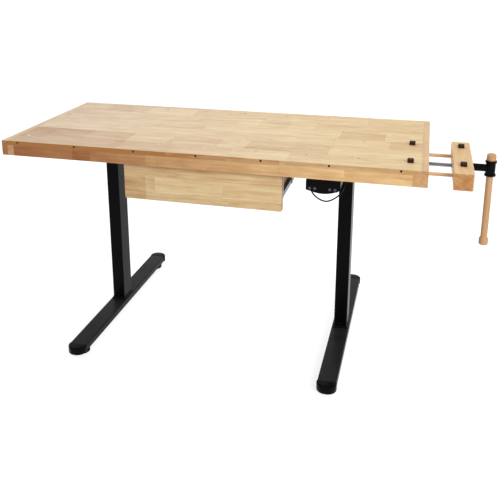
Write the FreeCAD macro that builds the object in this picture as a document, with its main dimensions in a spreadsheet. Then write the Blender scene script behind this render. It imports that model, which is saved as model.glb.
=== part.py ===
"""Joiner's workbench on an electrically raised frame, with an end vise and a drawer.

Millimetres, +Z up. The origin is on the floor, under the middle of the bench's whole
length and midway between the front and back ends of the feet. The front of the bench
faces -Y and the vise is at the +X end.
"""
import FreeCAD, Part
import math
import os

import Sketcher

Vector = FreeCAD.Vector

# Every driving size of the bench, in millimetres
SIZES = {
    # Worktop: a thin laminated panel on a frame of rails, closed by two end caps
    "top_length": 1500,
    "top_depth": 678,
    "top_height": 800,
    "front_reach": 345,
    "panel_thick": 16,
    "rail_thick": 38,
    "end_cap_thick": 22,
    "cross_rail_thick": 25,
    "front_rail_depth": 130,
    "back_rail_depth": 100,
    "bearer_width": 90,
    "wood_edge": 1.2,
    # Dog holes and the small peg holes along the front edge
    "dog_bore": 20,
    "dog_end_inset": 58,
    "dog_blind_depth": 24,
    "front_row_inset": 90,
    "second_row_gap": 221,
    "back_row_inset": 52,
    "peg_bore": 8,
    "peg_depth": 24,
    "peg_drop": 6,
    "peg_left_inset": 63.5,
    "peg_right_inset": 83.5,
    # Columns and feet
    "column_spacing": 932,
    "column_width": 50,
    "column_depth": 80,
    "column_wall": 2,
    "column_corner": 5,
    "plate_border": 2,
    "plate_thick": 5,
    "column_screw_rise": 18,
    "column_screw_head": 7,
    "screw_head_rise": 1.5,
    "foot_width": 66,
    "foot_thick": 26,
    "foot_length": 878,
    "foot_wall": 2.5,
    "foot_edge": 3,
    "foot_cap_length": 31,
    "foot_cap_corner": 24,
    "foot_plug_length": 18,
    "base_bolt": 8,
    "base_bolt_head": 13,
    "base_bolt_head_thick": 5,
    "base_bolt_access": 16,
    "base_bolt_reach_x": 12,
    "base_bolt_reach_y": 28,
    # Levelling feet
    "leveller_height": 20,
    "leveller_radius": 28,
    "leveller_rim": 9,
    "leveller_neck": 15,
    "leveller_edge": 2.5,
    "leveller_stem": 8,
    "leveller_stem_length": 18,
    "leveller_inset": 63,
    "insert_wall": 3,
    "insert_length": 16,
    # Telescoping inner columns, spindles and nuts
    "inner_gap": 1.5,
    "inner_wall": 2,
    "inner_bottom": 70,
    "rest_gap": 1,
    "bush_flange": 3,
    "bush_length": 30,
    "bush_slack": 0.1,
    "nut_tube_radius": 14,
    "nut_tube_wall": 2,
    "nut_drop": 44,
    "nut_length": 24,
    "spindle_radius": 8,
    "spindle_bottom": 66,
    "spindle_engaged": 36,
    "running_gap": 0.1,
    # Motor housings, gear motors, brackets and the beam between them
    "housing_width": 100,
    "housing_depth": 116,
    "housing_height": 86,
    "housing_wall": 2.5,
    "gearbox_width": 70,
    "gearbox_depth": 90,
    "gearbox_height": 40,
    "motor_radius": 25,
    "motor_length": 40,
    "bracket_length": 480,
    "bracket_width": 60,
    "bracket_thick": 4,
    "bracket_screw": 5,
    "bracket_screw_head": 10,
    "bracket_screw_head_thick": 3,
    "bracket_screw_inset": 16,
    "bracket_screw_reach": 18,
    "beam_depth": 50,
    "beam_height": 40,
    "beam_wall": 2,
    # Control box, handset and the handset's cable
    "control_width": 76,
    "control_length": 120,
    "control_height": 34,
    "control_gap": 17,
    "control_edge": 4,
    "gland_radius": 5,
    "gland_length": 12,
    "gland_shift": 20,
    "inlet_width": 28,
    "inlet_height": 20,
    "inlet_depth": 10,
    "handset_left": 366,
    "handset_width": 113,
    "handset_depth": 60,
    "handset_inset": 7,
    "handset_end_height": 40,
    "handset_step": 20,
    "handset_step_drop": 5,
    "handset_bow_width": 77,
    "handset_bow_height": 43,
    "handset_bow_radius": 115,
    "handset_right_height": 24,
    "handset_corner": 17,
    "handset_chamfer": 6,
    "relief_radius": 3.5,
    "relief_length": 12,
    "relief_inset": 30,
    "relief_shift": 11.5,
    "relief_drop": 48.6,
    "button_radius": 5.5,
    "button_proud": 1.6,
    "button_depth": 6,
    "button_slack": 0.2,
    "button_drop": 34,
    "button_first": 13,
    "button_pitch": 17,
    "button_group_gap": 66,
    "button_well": 8,
    "cable_radius": 2.5,
    "clip_width": 12,
    "clip_depth": 8,
    "clip_drop": 17,
    "clip_window_width": 7.5,
    "clip_window_height": 8,
    "clip_floor": 2,
    # Drawer and its hanging runners
    "drawer_width": 568,
    "drawer_front_height": 130,
    "drawer_front_thick": 20,
    "drawer_front_inset": 23,
    "drawer_front_gap": 3,
    "drawer_front_corner": 5,
    "box_width": 520,
    "box_beam_gap": 10,
    "box_height": 92,
    "box_rise": 26,
    "box_board": 12,
    "box_bottom_thick": 6,
    "box_bottom_rise": 10,
    "box_groove": 5,
    "runner_sheet": 1.2,
    "runner_height": 17,
    "runner_space": 12.5,
    "runner_ledge": 11,
    "tongue_rise": 7,
    "tongue_reach": 8,
    "glide_slack": 0.3,
    "glide_length": 30,
    "hanger_width": 14,
    "hanger_thick": 2,
    "hanger_flange": 24,
    "front_hanger_inset": 88,
    "rear_hanger_inset": 258,
    # End vise
    "vise_open": 76,
    "jaw_thick": 60,
    "jaw_length": 383,
    "jaw_corner": 8,
    "rod_radius": 6,
    "rod_seat": 20,
    "rod_inside": 135,
    "rod_room": 4,
    "vise_drop": 34,
    "vise_travel_closed": 75.5,
    "screw_radius": 7,
    "guide_block_length": 97,
    "nut_plate_thick": 6,
    "nut_plate_width": 70,
    "nut_plate_margin": 4,
    "vise_nut_radius": 13,
    "vise_nut_length": 20,
    "vise_nut_room": 1,
    "collar_radius": 13,
    "collar_length": 10,
    "collar_room": 1,
    "thrust_gap": 0.3,
    "neck_radius": 12.5,
    "neck_length": 45.7,
    "sleeve_radius": 15.5,
    "sleeve_height": 51,
    "sleeve_rim_radius": 18.5,
    "sleeve_rim_height": 6,
    "handle_radius": 11,
    "handle_slack": 0.5,
    "handle_length": 266,
    "knob_radius": 15.5,
    "top_knob_height": 24,
    "bottom_knob_height": 30,
    "knob_waist_radius": 12.5,
    "tenon_radius": 6,
    "tenon_length": 16,
    # Bench dogs
    "dog_head_height": 11,
    "dog_flat": 8,
    "dog_slack": 0.1,
    "dog_edge": 1.2,
    # One overrun for every cut that runs out of a face
    "overrun": 3,
}

# How many of each repeated thing there are
FRONT_DOG_HOLES = 9
BACK_DOG_HOLES = 7
PEG_HOLES = 7

doc = FreeCAD.newDocument("workbench")
sheet = doc.addObject("Spreadsheet::Sheet", "sizes")
for row, (alias, amount) in enumerate(SIZES.items(), 1):
    sheet.set(f"A{row}", alias)
    sheet.set(f"B{row}", str(amount))
    sheet.setAlias(f"B{row}", alias)
doc.recompute()

pieces = []


class Dim:
    """A size that knows its value and the sheet expression that it comes from."""

    def __init__(self, value, text):
        self.value = value
        self.text = text

    def __add__(self, other):
        other = dim(other)
        return Dim(self.value + other.value, f"({self.text} + {other.text})")

    def __sub__(self, other):
        other = dim(other)
        return Dim(self.value - other.value, f"({self.text} - {other.text})")

    def __mul__(self, factor):
        factor = dim(factor)
        return Dim(self.value * factor.value, f"({self.text} * {factor.text})")

    def __truediv__(self, factor):
        factor = dim(factor)
        return Dim(self.value / factor.value, f"({self.text} / {factor.text})")

    def __neg__(self):
        return Dim(-self.value, f"(0 - {self.text})")

    def __rsub__(self, other):
        return dim(other) - self

    __radd__ = __add__
    __rmul__ = __mul__


def dim(amount):
    """The amount as a Dim, whether it is one already or a plain number."""
    return amount if isinstance(amount, Dim) else Dim(float(amount), f"{float(amount)}")


class Sheet:
    """Gives the sheet's cells as Dims, by their aliases."""

    def __getattr__(self, alias):
        return Dim(float(getattr(sheet, alias)), f"sizes.{alias}")


s = Sheet()


def bind(item, prop, amount):
    """Ties a property of an object to the sheet."""
    item.setExpression(prop, dim(amount).text)


# The hub stands out beyond the top's right end, so the middle of the top is left of the origin
hub_reach = s.vise_open + s.jaw_thick + s.thrust_gap + s.neck_length + s.sleeve_radius
top_middle = (hub_reach + s.sleeve_rim_radius) / -2


def place(item, x=0, y=0, z=0):
    """Ties an object's position to the sheet, with x counted from the middle of the top."""
    for axis, amount in (("x", top_middle + x), ("y", y), ("z", z)):
        bind(item, f".Placement.Base.{axis}", amount)
    return item


def turn(item, axis, degrees):
    """Turns an object about its own origin."""
    item.Placement = FreeCAD.Placement(Vector(), FreeCAD.Rotation(axis, degrees))
    return item


def block(label, x, y, z):
    """A box between two expressions on each axis."""
    item = doc.addObject("Part::Box", label)
    item.Label = label
    for prop, (low, high) in (("Length", x), ("Width", y), ("Height", z)):
        bind(item, prop, high - low)
    return place(item, x[0], y[0], z[0])


def cylinder(label, axis, radius, start, length):
    """A cylinder along +X, +Y or +Z from its start point."""
    item = doc.addObject("Part::Cylinder", label)
    item.Label = label
    bind(item, "Radius", radius)
    bind(item, "Height", length)
    if axis == "x":
        turn(item, Vector(0, 1, 0), 90)
    elif axis == "y":
        turn(item, Vector(1, 0, 0), -90)
    return place(item, *start)


def joined(label, items):
    """Several shapes that touch or overlap, made into one solid."""
    item = doc.addObject("Part::MultiFuse", label)
    item.Label = label
    item.Shapes = items
    item.Refine = True
    return item


def grouped(label, items):
    """Separate solids of one kind that share a node."""
    item = doc.addObject("Part::Compound", label)
    item.Label = label
    item.Links = items
    return item


def cut(label, base, tools):
    """A shape with other shapes taken away from it."""
    tool = tools[0] if len(tools) == 1 else joined(f"{label}_tools", tools)
    item = doc.addObject("Part::Cut", label)
    item.Label = label
    item.Base = base
    item.Tool = tool
    return item


def rounded(label, base, radius, chosen):
    """A shape with the chosen straight or round edges filleted."""
    doc.recompute()
    item = doc.addObject("Part::Fillet", label)
    item.Label = label
    item.Base = base
    size = dim(radius).value
    edges = [i for i, edge in enumerate(base.Shape.Edges, 1) if chosen(edge)]
    item.Edges = [(i, size, size) for i in edges]
    return item


def along(direction):
    """Chooses straight edges along a direction."""

    def chosen(edge):
        if not isinstance(edge.Curve, Part.Line):
            return False
        return abs(abs(edge.tangentAt(edge.FirstParameter).dot(direction)) - 1) < 1e-6

    return chosen


def finished(item):
    """Adds an object to the bench's pieces."""
    pieces.append(item)
    return item


def new_body(label):
    """An empty body for a piece that is built from sketches."""
    item = doc.addObject("PartDesign::Body", label)
    item.Label = label
    return place(item)


def origin_part(body, role):
    """One of the body's own origin planes or axes."""
    return next(item for item in body.Origin.OriginFeatures if item.Role == role)


def new_sketch(body, role, height=0):
    """A sketch on an origin plane of its body, or parallel to it at a height."""
    sketch = body.newObject("Sketcher::SketchObject", f"{body.Label}_sketch")
    sketch.AttachmentSupport = [(origin_part(body, role), "")]
    sketch.MapMode = "FlatFace"
    bind(sketch, ".AttachmentOffset.Base.z", height)
    return sketch


def pin_point(sketch, geometry, spot, across, up):
    """Holds one point of a sketch at two expressions."""
    for kind, axis, amount in (("DistanceX", -2, across), ("DistanceY", -1, up)):
        amount = dim(amount)
        if abs(amount.value) < 1e-9:
            sketch.addConstraint(Sketcher.Constraint("PointOnObject", geometry, spot, axis))
            continue
        number = sketch.addConstraint(
            Sketcher.Constraint(kind, -1, 1, geometry, spot, amount.value))
        name = f"{kind[-1].lower()}{number}"
        sketch.renameConstraint(number, name)
        bind(sketch, f"Constraints.{name}", amount)


def arc_between(start, end, radius, side):
    """An arc from start to end that bulges to the left (+1) or right (-1) of the way."""
    middle = (start + end) / 2
    way = end - start
    height = math.sqrt(max(radius**2 - (way.Length / 2) ** 2, 0))
    left = Vector(-way.y, way.x, 0).normalize()
    centre = middle - left * height * side
    top = centre + left * radius * side
    return Part.Arc(start, top, end)


def outline(sketch, corners):
    """A closed outline. A corner is (across, up), or (across, up, radius, side) for an arc to it."""
    points = [Vector(dim(c[0]).value, dim(c[1]).value, 0) for c in corners]
    count = len(corners)
    for i, corner in enumerate(corners):
        start, end = points[i - 1], points[i]
        if len(corner) == 2:
            sketch.addGeometry(Part.LineSegment(start, end))
        else:
            arc = arc_between(start, end, dim(corner[2]).value, corner[3])
            sketch.addGeometry(arc)
    ends = [(1, 2)] * count
    for i, corner in enumerate(corners):
        if len(corner) == 4 and corner[3] > 0:
            ends[i] = (2, 1)
    for i, corner in enumerate(corners):
        following = (i + 1) % count
        sketch.addConstraint(Sketcher.Constraint(
            "Coincident", i, ends[i][1], following, ends[following][0]))
        pin_point(sketch, i, ends[i][1], corner[0], corner[1])
        if len(corner) == 4:
            number = sketch.addConstraint(
                Sketcher.Constraint("Radius", i, dim(corner[2]).value))
            sketch.renameConstraint(number, f"r{number}")
            bind(sketch, f"Constraints.r{number}", corner[2])


def rectangle(sketch, low, high):
    """A closed rectangle between two corners."""
    outline(sketch, [low, (high[0], low[1]), high, (low[0], high[1])])


def circle(sketch, centre, radius):
    """A circle held at its centre."""
    index = sketch.addGeometry(Part.Circle(
        Vector(dim(centre[0]).value, dim(centre[1]).value, 0), Vector(0, 0, 1),
        dim(radius).value))
    pin_point(sketch, index, 3, *centre)
    number = sketch.addConstraint(Sketcher.Constraint("Radius", index, dim(radius).value))
    sketch.renameConstraint(number, f"r{number}")
    bind(sketch, f"Constraints.r{number}", radius)


def pad(body, sketch, length):
    """Adds the sketch's outline to the body, along the sketch's normal."""
    item = body.newObject("PartDesign::Pad", f"{body.Label}_pad")
    item.Profile = sketch
    bind(item, "Length", length)
    return item


def pocket(body, sketch, length):
    """Takes the sketch's outline out of the body, against the sketch's normal."""
    doc.recompute()
    before = body.Shape.Volume
    item = body.newObject("PartDesign::Pocket", f"{body.Label}_pocket")
    item.Profile = sketch
    bind(item, "Length", length)
    doc.recompute()
    if not body.Shape.Volume < before:
        raise ValueError(f"a pocket of {body.Label} takes nothing away")
    return item


def revolved(body, sketch, axis):
    """Turns the sketch's outline about one of its body's origin axes."""
    item = body.newObject("PartDesign::Revolution", f"{body.Label}_turning")
    item.Profile = sketch
    item.ReferenceAxis = (origin_part(body, axis), [""])
    item.Angle = 360
    return item


def repeated(body, feature, axis, pitch, count):
    """Copies a feature along an origin axis of its body."""
    item = body.newObject("PartDesign::LinearPattern", f"{body.Label}_pattern")
    item.Originals = [feature]
    item.Direction = (origin_part(body, axis), [""])
    bind(item, "Length", pitch * (count - 1))
    item.Occurrences = count
    body.Tip = item
    return item


def body_fillet(body, radius, chosen):
    """Rounds the chosen edges of a body."""
    doc.recompute()
    tip = body.Tip
    names = [f"Edge{i}" for i, edge in enumerate(tip.Shape.Edges, 1) if chosen(edge)]
    item = body.newObject("PartDesign::Fillet", f"{body.Label}_fillet")
    item.Base = (tip, names)
    bind(item, "Radius", radius)
    return item


Y_WAY, Z_WAY = Vector(0, 1, 0), Vector(0, 0, 1)
SIDES = (("left", -1), ("right", 1))

# Planes that the whole bench is built from
half_top = s.top_length / 2
front = -s.front_reach
back = front + s.top_depth
top_z = s.top_height
panel_z = top_z - s.panel_thick
under_z = panel_z - s.rail_thick
cap_inner = half_top - s.end_cap_thick
rail_end = cap_inner - s.cross_rail_thick
rail_back = front + s.front_rail_depth
back_rail_front = back - s.back_rail_depth
column_x = s.column_spacing / 2
foot_z = s.leveller_height
foot_top = foot_z + s.foot_thick

# Planes of the lift: the housings hang from the brackets and rest on the column mouths
bracket_z = under_z - s.bracket_thick
housing_z = bracket_z - s.housing_height
gearbox_z = housing_z + s.housing_wall
column_mouth = housing_z - s.rest_gap - s.bush_flange
nut_bottom = column_mouth - s.nut_drop

# Rows of dog holes
dog_last = half_top - s.dog_end_inset
dog_first = -dog_last
dog_pitch = dog_last * 2 / (FRONT_DOG_HOLES - 1)
dog_second = dog_last - dog_pitch
front_row = front + s.front_row_inset
second_row = front_row + s.second_row_gap
back_row = back - s.back_row_inset
dog_radius = s.dog_bore / 2

# Planes of the vise: its screw runs along X between two guide rods
vise_y = (front_row + second_row) / 2
vise_z = top_z - s.vise_drop
jaw_inner = half_top + s.vise_open
jaw_outer = jaw_inner + s.jaw_thick
jaw_middle = (jaw_inner + jaw_outer) / 2
rod_tip = half_top - s.rod_inside
rod_bore = s.rod_radius + s.running_gap
screw_bore = s.screw_radius + s.running_gap
rod_rows = (front_row, second_row)


def vise_bores(label, start, end):
    """Cutting cylinders for the screw and both guide rods between two planes."""
    length = end - start + s.overrun * 2
    low = start - s.overrun
    tools = [cylinder(f"{label}_screw_bore", "x", screw_bore, (low, vise_y, vise_z), length)]
    for row in rod_rows:
        tools.append(cylinder(f"{label}_rod_bore", "x", rod_bore, (low, row, vise_z), length))
    return tools


# Top panel: laminated board with the dog holes through it and pegs' holes in its front edge
def make_top_panel():
    body = new_body("top_panel")
    face = new_sketch(body, "XY_Plane", panel_z)
    rectangle(face, (-cap_inner, front), (cap_inner, back))
    pad(body, face, s.panel_thick)
    depth = s.panel_thick + s.overrun
    rows = ((front_row, FRONT_DOG_HOLES), (back_row, BACK_DOG_HOLES))
    for row, count in rows:
        hole = new_sketch(body, "XY_Plane", top_z)
        circle(hole, (dog_first, row), dog_radius)
        repeated(body, pocket(body, hole, depth), "X_Axis", dog_pitch, count)
    hole = new_sketch(body, "XY_Plane", top_z)
    circle(hole, (dog_second, second_row), dog_radius)
    repeated(body, pocket(body, hole, depth), "X_Axis", dog_pitch, 2)
    peg = new_sketch(body, "XZ_Plane", -front)
    first_peg = s.peg_left_inset - half_top
    peg_pitch = (half_top - s.peg_right_inset - first_peg) / (PEG_HOLES - 1)
    circle(peg, (first_peg, top_z - s.peg_drop), s.peg_bore / 2)
    repeated(body, pocket(body, peg, s.peg_depth), "X_Axis", peg_pitch, PEG_HOLES)
    return finished(body)


# Front and back rails under the panel: the dog holes run on through them
def make_front_rail():
    blank = block("front_rail_blank", (-rail_end, rail_end), (front, rail_back),
                  (under_z, panel_z))
    tools = []
    for i in range(FRONT_DOG_HOLES - 1):
        tools.append(cylinder("front_rail_dog_hole", "z", dog_radius,
                              (dog_first + dog_pitch * i, front_row, under_z - s.overrun),
                              s.rail_thick + s.overrun * 2))
    blind = top_z - s.dog_blind_depth
    tools.append(cylinder("front_rail_blind_hole", "z", dog_radius,
                          (dog_last, front_row, blind), s.dog_blind_depth))
    closed_tip = rod_tip - s.vise_travel_closed - s.rod_room
    tools.append(cylinder("front_rail_rod_bore", "x", rod_bore,
                          (closed_tip, front_row, vise_z), rail_end + s.overrun - closed_tip))
    return finished(cut("front_rail", blank, tools))


def make_back_rail():
    blank = block("back_rail_blank", (-rail_end, rail_end), (back_rail_front, back),
                  (under_z, panel_z))
    tools = []
    for i in range(BACK_DOG_HOLES):
        tools.append(cylinder("back_rail_dog_hole", "z", dog_radius,
                              (dog_first + dog_pitch * i, back_row, under_z - s.overrun),
                              s.rail_thick + s.overrun * 2))
    return finished(cut("back_rail", blank, tools))


# End caps stand the full thickness of the top, and the vise end is bored for the vise
def make_end_caps():
    left = block("left_end_cap_blank", (-half_top, -cap_inner), (front, back), (under_z, top_z))
    finished(rounded("left_end_cap", left, s.wood_edge, along(Y_WAY)))
    right = block("right_end_cap_blank", (cap_inner, half_top), (front, back), (under_z, top_z))
    soft = rounded("right_end_cap_soft", right, s.wood_edge, along(Y_WAY))
    finished(cut("right_end_cap", soft, vise_bores("right_end_cap", cap_inner, half_top)))


# Cross rails close the frame of rails inside the end caps, with their end grain to the front
def make_cross_rails():
    left = block("left_cross_rail", (-cap_inner, -rail_end), (front, back), (under_z, panel_z))
    blank = block("right_cross_rail_blank", (rail_end, cap_inner), (front, back),
                  (under_z, panel_z))
    right = cut("right_cross_rail", blank, vise_bores("right_cross_rail", rail_end, cap_inner))
    finished(grouped("cross_rails", [left, right]))


# Bearers run front to back under the panel, above each column's bracket
def make_bearers():
    items = []
    for side, sign in SIDES:
        middle = column_x * sign
        items.append(block(f"{side}_bearer", (middle - s.bearer_width / 2,
                                              middle + s.bearer_width / 2),
                           (rail_back, back_rail_front), (under_z, panel_z)))
    finished(grouped("bearers", items))


# Guide block: carries the screw's nut and the rear guide rod behind the cross rail
def make_guide_block():
    outer = rail_end - s.nut_plate_thick
    inner = outer - s.guide_block_length
    reach = second_row + s.nut_plate_width / 2
    blank = block("vise_guide_block_blank", (inner, rail_end), (rail_back, reach),
                  (under_z, panel_z))
    tools = [
        cylinder("guide_block_screw_bore", "x", screw_bore,
                 (inner - s.overrun, vise_y, vise_z), s.guide_block_length + s.overrun * 3),
        cylinder("guide_block_rod_bore", "x", rod_bore,
                 (inner - s.overrun, second_row, vise_z),
                 rail_end - inner + s.overrun * 2),
        cylinder("guide_block_nut_room", "x", s.vise_nut_radius + s.running_gap,
                 (outer - s.vise_nut_length - s.vise_nut_room, vise_y, vise_z),
                 s.vise_nut_length + s.vise_nut_room + s.overrun),
        cylinder("guide_block_blind_hole", "z", dog_radius,
                 (dog_last, second_row, top_z - s.dog_blind_depth), s.dog_blind_depth),
        block("guide_block_plate_room", (outer, rail_end + s.overrun),
              (vise_y - s.nut_plate_width / 2, vise_y + s.nut_plate_width / 2),
              (under_z + s.nut_plate_margin, panel_z + s.overrun)),
    ]
    finished(cut("vise_guide_block", blank, tools))
    plate = block("vise_nut_flange", (outer, rail_end),
                  (vise_y - s.nut_plate_width / 2, vise_y + s.nut_plate_width / 2),
                  (under_z + s.nut_plate_margin, panel_z))
    nut = cylinder("vise_nut_barrel", "x", s.vise_nut_radius,
                   (outer - s.vise_nut_length, vise_y, vise_z), s.vise_nut_length)
    bore = cylinder("vise_nut_thread", "x", screw_bore,
                    (outer - s.vise_nut_length - s.overrun, vise_y, vise_z),
                    s.vise_nut_length + s.nut_plate_thick + s.overrun * 2)
    whole = joined("vise_nut_blank", [plate, nut])
    finished(cut("vise_nut_plate", whole, [bore]))


# Columns: a rectangular tube welded to a plate, bolted to the foot from inside it
def make_outer_columns():
    wide, deep = s.column_width / 2, s.column_depth / 2
    tube_z = foot_top + s.plate_thick
    for side, sign in SIDES:
        body = new_body(f"{side}_outer_column")
        plate = new_sketch(body, "XY_Plane", foot_top)
        rim = s.plate_border
        rectangle(plate, (-wide - rim, -deep - rim), (wide + rim, deep + rim))
        pad(body, plate, s.plate_thick)
        tube = new_sketch(body, "XY_Plane", tube_z)
        rectangle(tube, (-wide, -deep), (wide, deep))
        pad(body, tube, column_mouth - tube_z)
        tall = along(Z_WAY)
        body_fillet(body, s.column_corner,
                    lambda e: tall(e) and e.Length > s.plate_thick.value * 2)
        inside = new_sketch(body, "XY_Plane", column_mouth)
        wall = s.column_wall
        rectangle(inside, (wall - wide, wall - deep), (wide - wall, deep - wall))
        pocket(body, inside, column_mouth - tube_z)
        bolts = new_sketch(body, "XY_Plane", tube_z)
        for across in (-1, 1):
            for along_foot in (-1, 1):
                circle(bolts, (s.base_bolt_reach_x * across, s.base_bolt_reach_y * along_foot),
                       s.base_bolt / 2)
        pocket(body, bolts, s.plate_thick + s.overrun)
        place(body, x=column_x * sign)
        finished(body)


# Plastic bushes line the mouths of the columns and guide the inner tubes
inner_wide = s.column_width - s.column_wall * 2 - s.inner_gap * 2
inner_deep = s.column_depth - s.column_wall * 2 - s.inner_gap * 2


def make_column_bushes():
    items = []
    for side, sign in SIDES:
        x = column_x * sign
        wide, deep = s.column_width / 2, s.column_depth / 2
        wall = s.column_wall
        flange = block(f"{side}_bush_flange", (x - wide, x + wide), (-deep, deep),
                       (column_mouth, column_mouth + s.bush_flange))
        skirt = block(f"{side}_bush_skirt", (x - wide + wall, x + wide - wall),
                      (wall - deep, deep - wall),
                      (column_mouth - s.bush_length, column_mouth + s.bush_flange))
        opening = block(f"{side}_bush_opening",
                        (x - inner_wide / 2 - s.bush_slack, x + inner_wide / 2 + s.bush_slack),
                        (-inner_deep / 2 - s.bush_slack, inner_deep / 2 + s.bush_slack),
                        (column_mouth - s.bush_length - s.overrun,
                         column_mouth + s.bush_flange + s.overrun))
        collar = joined(f"{side}_bush_collar", [flange, skirt])
        items.append(cut(f"{side}_column_bush", collar, [opening]))
    finished(grouped("column_bushes", items))


# Nut tubes stand on the column plates and hold the spindle nuts up inside the columns
def make_nut_tubes():
    tubes, nuts = [], []
    low = foot_top + s.plate_thick
    for side, sign in SIDES:
        x = column_x * sign
        outer = cylinder(f"{side}_nut_tube_outside", "z", s.nut_tube_radius, (x, 0, low),
                         nut_bottom - low)
        inner = cylinder(f"{side}_nut_tube_inside", "z", s.nut_tube_radius - s.nut_tube_wall,
                         (x, 0, low), nut_bottom - low)
        tubes.append(cut(f"{side}_nut_tube", outer, [inner]))
        nut = cylinder(f"{side}_nut_blank", "z", s.nut_tube_radius, (x, 0, nut_bottom),
                       s.nut_length)
        thread = cylinder(f"{side}_nut_thread", "z", s.spindle_radius + s.running_gap,
                          (x, 0, nut_bottom), s.nut_length)
        nuts.append(cut(f"{side}_spindle_nut", nut, [thread]))
    finished(grouped("nut_tubes", tubes))
    finished(grouped("spindle_nuts", nuts))


def make_spindles():
    for side, sign in SIDES:
        finished(cylinder(f"{side}_spindle", "z", s.spindle_radius,
                          (column_x * sign, 0, s.spindle_bottom),
                          gearbox_z + s.spindle_engaged - s.spindle_bottom))


def make_inner_columns():
    for side, sign in SIDES:
        body = new_body(f"{side}_inner_column")
        wide, deep = inner_wide / 2, inner_deep / 2
        tube = new_sketch(body, "XY_Plane", s.inner_bottom)
        rectangle(tube, (-wide, -deep), (wide, deep))
        pad(body, tube, housing_z - s.inner_bottom)
        inside = new_sketch(body, "XY_Plane", housing_z)
        wall = s.inner_wall
        rectangle(inside, (wall - wide, wall - deep), (wide - wall, deep - wall))
        pocket(body, inside, housing_z - s.inner_bottom + s.overrun)
        place(body, x=column_x * sign)
        finished(body)


# Feet: flat tubes along Y with plastic caps pushed into both ends
tube_reach = s.foot_length / 2 - s.foot_cap_length
bolt_spots = [(s.base_bolt_reach_x * i, s.base_bolt_reach_y * j) for i in (-1, 1) for j in (-1, 1)]
leveller_reach = s.foot_length / 2 - s.leveller_inset
insert_radius = s.leveller_stem / 2 + s.insert_wall


def make_feet():
    wide = s.foot_width / 2
    wall = s.foot_wall
    for side, sign in SIDES:
        x = column_x * sign
        blank = block(f"{side}_foot_blank", (x - wide, x + wide), (-tube_reach, tube_reach),
                      (foot_z, foot_top))
        soft = rounded(f"{side}_foot_soft", blank, s.foot_edge, along(Y_WAY))
        tools = [block(f"{side}_foot_inside", (x - wide + wall, x + wide - wall),
                       (-tube_reach - s.overrun, tube_reach + s.overrun),
                       (foot_z + wall, foot_top - wall))]
        for across, lengthwise in bolt_spots:
            tools.append(cylinder(f"{side}_foot_bolt_hole", "z", s.base_bolt / 2,
                                  (x + across, lengthwise, foot_top - wall - s.overrun),
                                  wall + s.overrun * 2))
            tools.append(cylinder(f"{side}_foot_access", "z", s.base_bolt_access / 2,
                                  (x + across, lengthwise, foot_z - s.overrun),
                                  wall + s.overrun * 2))
        for end in (-1, 1):
            tools.append(cylinder(f"{side}_foot_insert_hole", "z", insert_radius,
                                  (x, leveller_reach * end, foot_z - s.overrun),
                                  wall + s.overrun * 2))
        finished(cut(f"{side}_foot", soft, tools))


def make_foot_caps():
    items = []
    wide = s.foot_width / 2
    wall = s.foot_wall
    for side, sign in SIDES:
        x = column_x * sign
        for end in (-1, 1):
            seam, tip = tube_reach * end, s.foot_length / 2 * end
            plug_tip = seam - s.foot_plug_length * end
            low, high = (seam, tip) if end > 0 else (tip, seam)
            head = block(f"{side}_cap_blank", (x - wide, x + wide), (low, high),
                         (foot_z, foot_top))
            outer = (s.foot_length / 2).value
            tall = along(Z_WAY)
            corner = rounded(f"{side}_cap_corner", head, s.foot_cap_corner,
                             lambda e: tall(e) and abs(abs(e.CenterOfMass.y) - outer) < 1e-6)
            low, high = (plug_tip, seam) if end > 0 else (seam, plug_tip)
            plug = block(f"{side}_cap_plug", (x - wide + wall, x + wide - wall), (low, high),
                         (foot_z + wall, foot_top - wall))
            items.append(joined(f"{side}_foot_cap", [corner, plug]))
    finished(grouped("foot_end_caps", items))


# Bolts from inside the feet into the column plates, and a screw low on each column's front
def make_base_screws():
    items = []
    for side, sign in SIDES:
        x = column_x * sign
        for across, lengthwise in bolt_spots:
            under = foot_top - s.foot_wall
            shank = cylinder("base_bolt_shank", "z", s.base_bolt / 2, (x + across, lengthwise, under),
                             s.foot_wall + s.plate_thick)
            head = cylinder("base_bolt_head", "z", s.base_bolt_head / 2,
                            (x + across, lengthwise, under - s.base_bolt_head_thick),
                            s.base_bolt_head_thick)
            items.append(joined("base_bolt", [shank, head]))
        face = s.column_depth / -2
        items.append(cylinder("column_screw_head", "y", s.column_screw_head / 2,
                              (x, face - s.screw_head_rise, foot_top + s.column_screw_rise),
                              s.screw_head_rise))
    finished(grouped("base_screws", items))


# Levelling feet: a turned disc on a threaded stem, in an insert set into the foot
def make_levellers():
    inserts = []
    neck = s.leveller_stem / 2 + s.insert_wall
    for side, sign in SIDES:
        for end_name, end in (("front", -1), ("back", 1)):
            body = new_body(f"levelling_foot_{side}_{end_name}")
            profile = new_sketch(body, "XZ_Plane")
            stem = s.leveller_stem / 2
            edge = s.leveller_edge
            rim = s.leveller_radius
            outline(profile, [
                (0, 0),
                (rim - edge, 0),
                (rim, edge),
                (rim, s.leveller_rim),
                (s.leveller_neck, s.leveller_neck),
                (s.leveller_neck, foot_z),
                (stem, foot_z),
                (stem, foot_z + s.leveller_stem_length),
                (0, foot_z + s.leveller_stem_length),
            ])
            revolved(body, profile, "Z_Axis")
            x, y = column_x * sign, leveller_reach * end
            place(body, x=x, y=y)
            finished(body)
            outer = cylinder("insert_outside", "z", neck, (x, y, foot_z), s.insert_length)
            inner = cylinder("insert_thread", "z", stem + s.running_gap,
                             (x, y, foot_z - s.overrun), s.insert_length + s.overrun * 2)
            inserts.append(cut("levelling_insert", outer, [inner]))
    finished(grouped("levelling_inserts", inserts))


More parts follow.
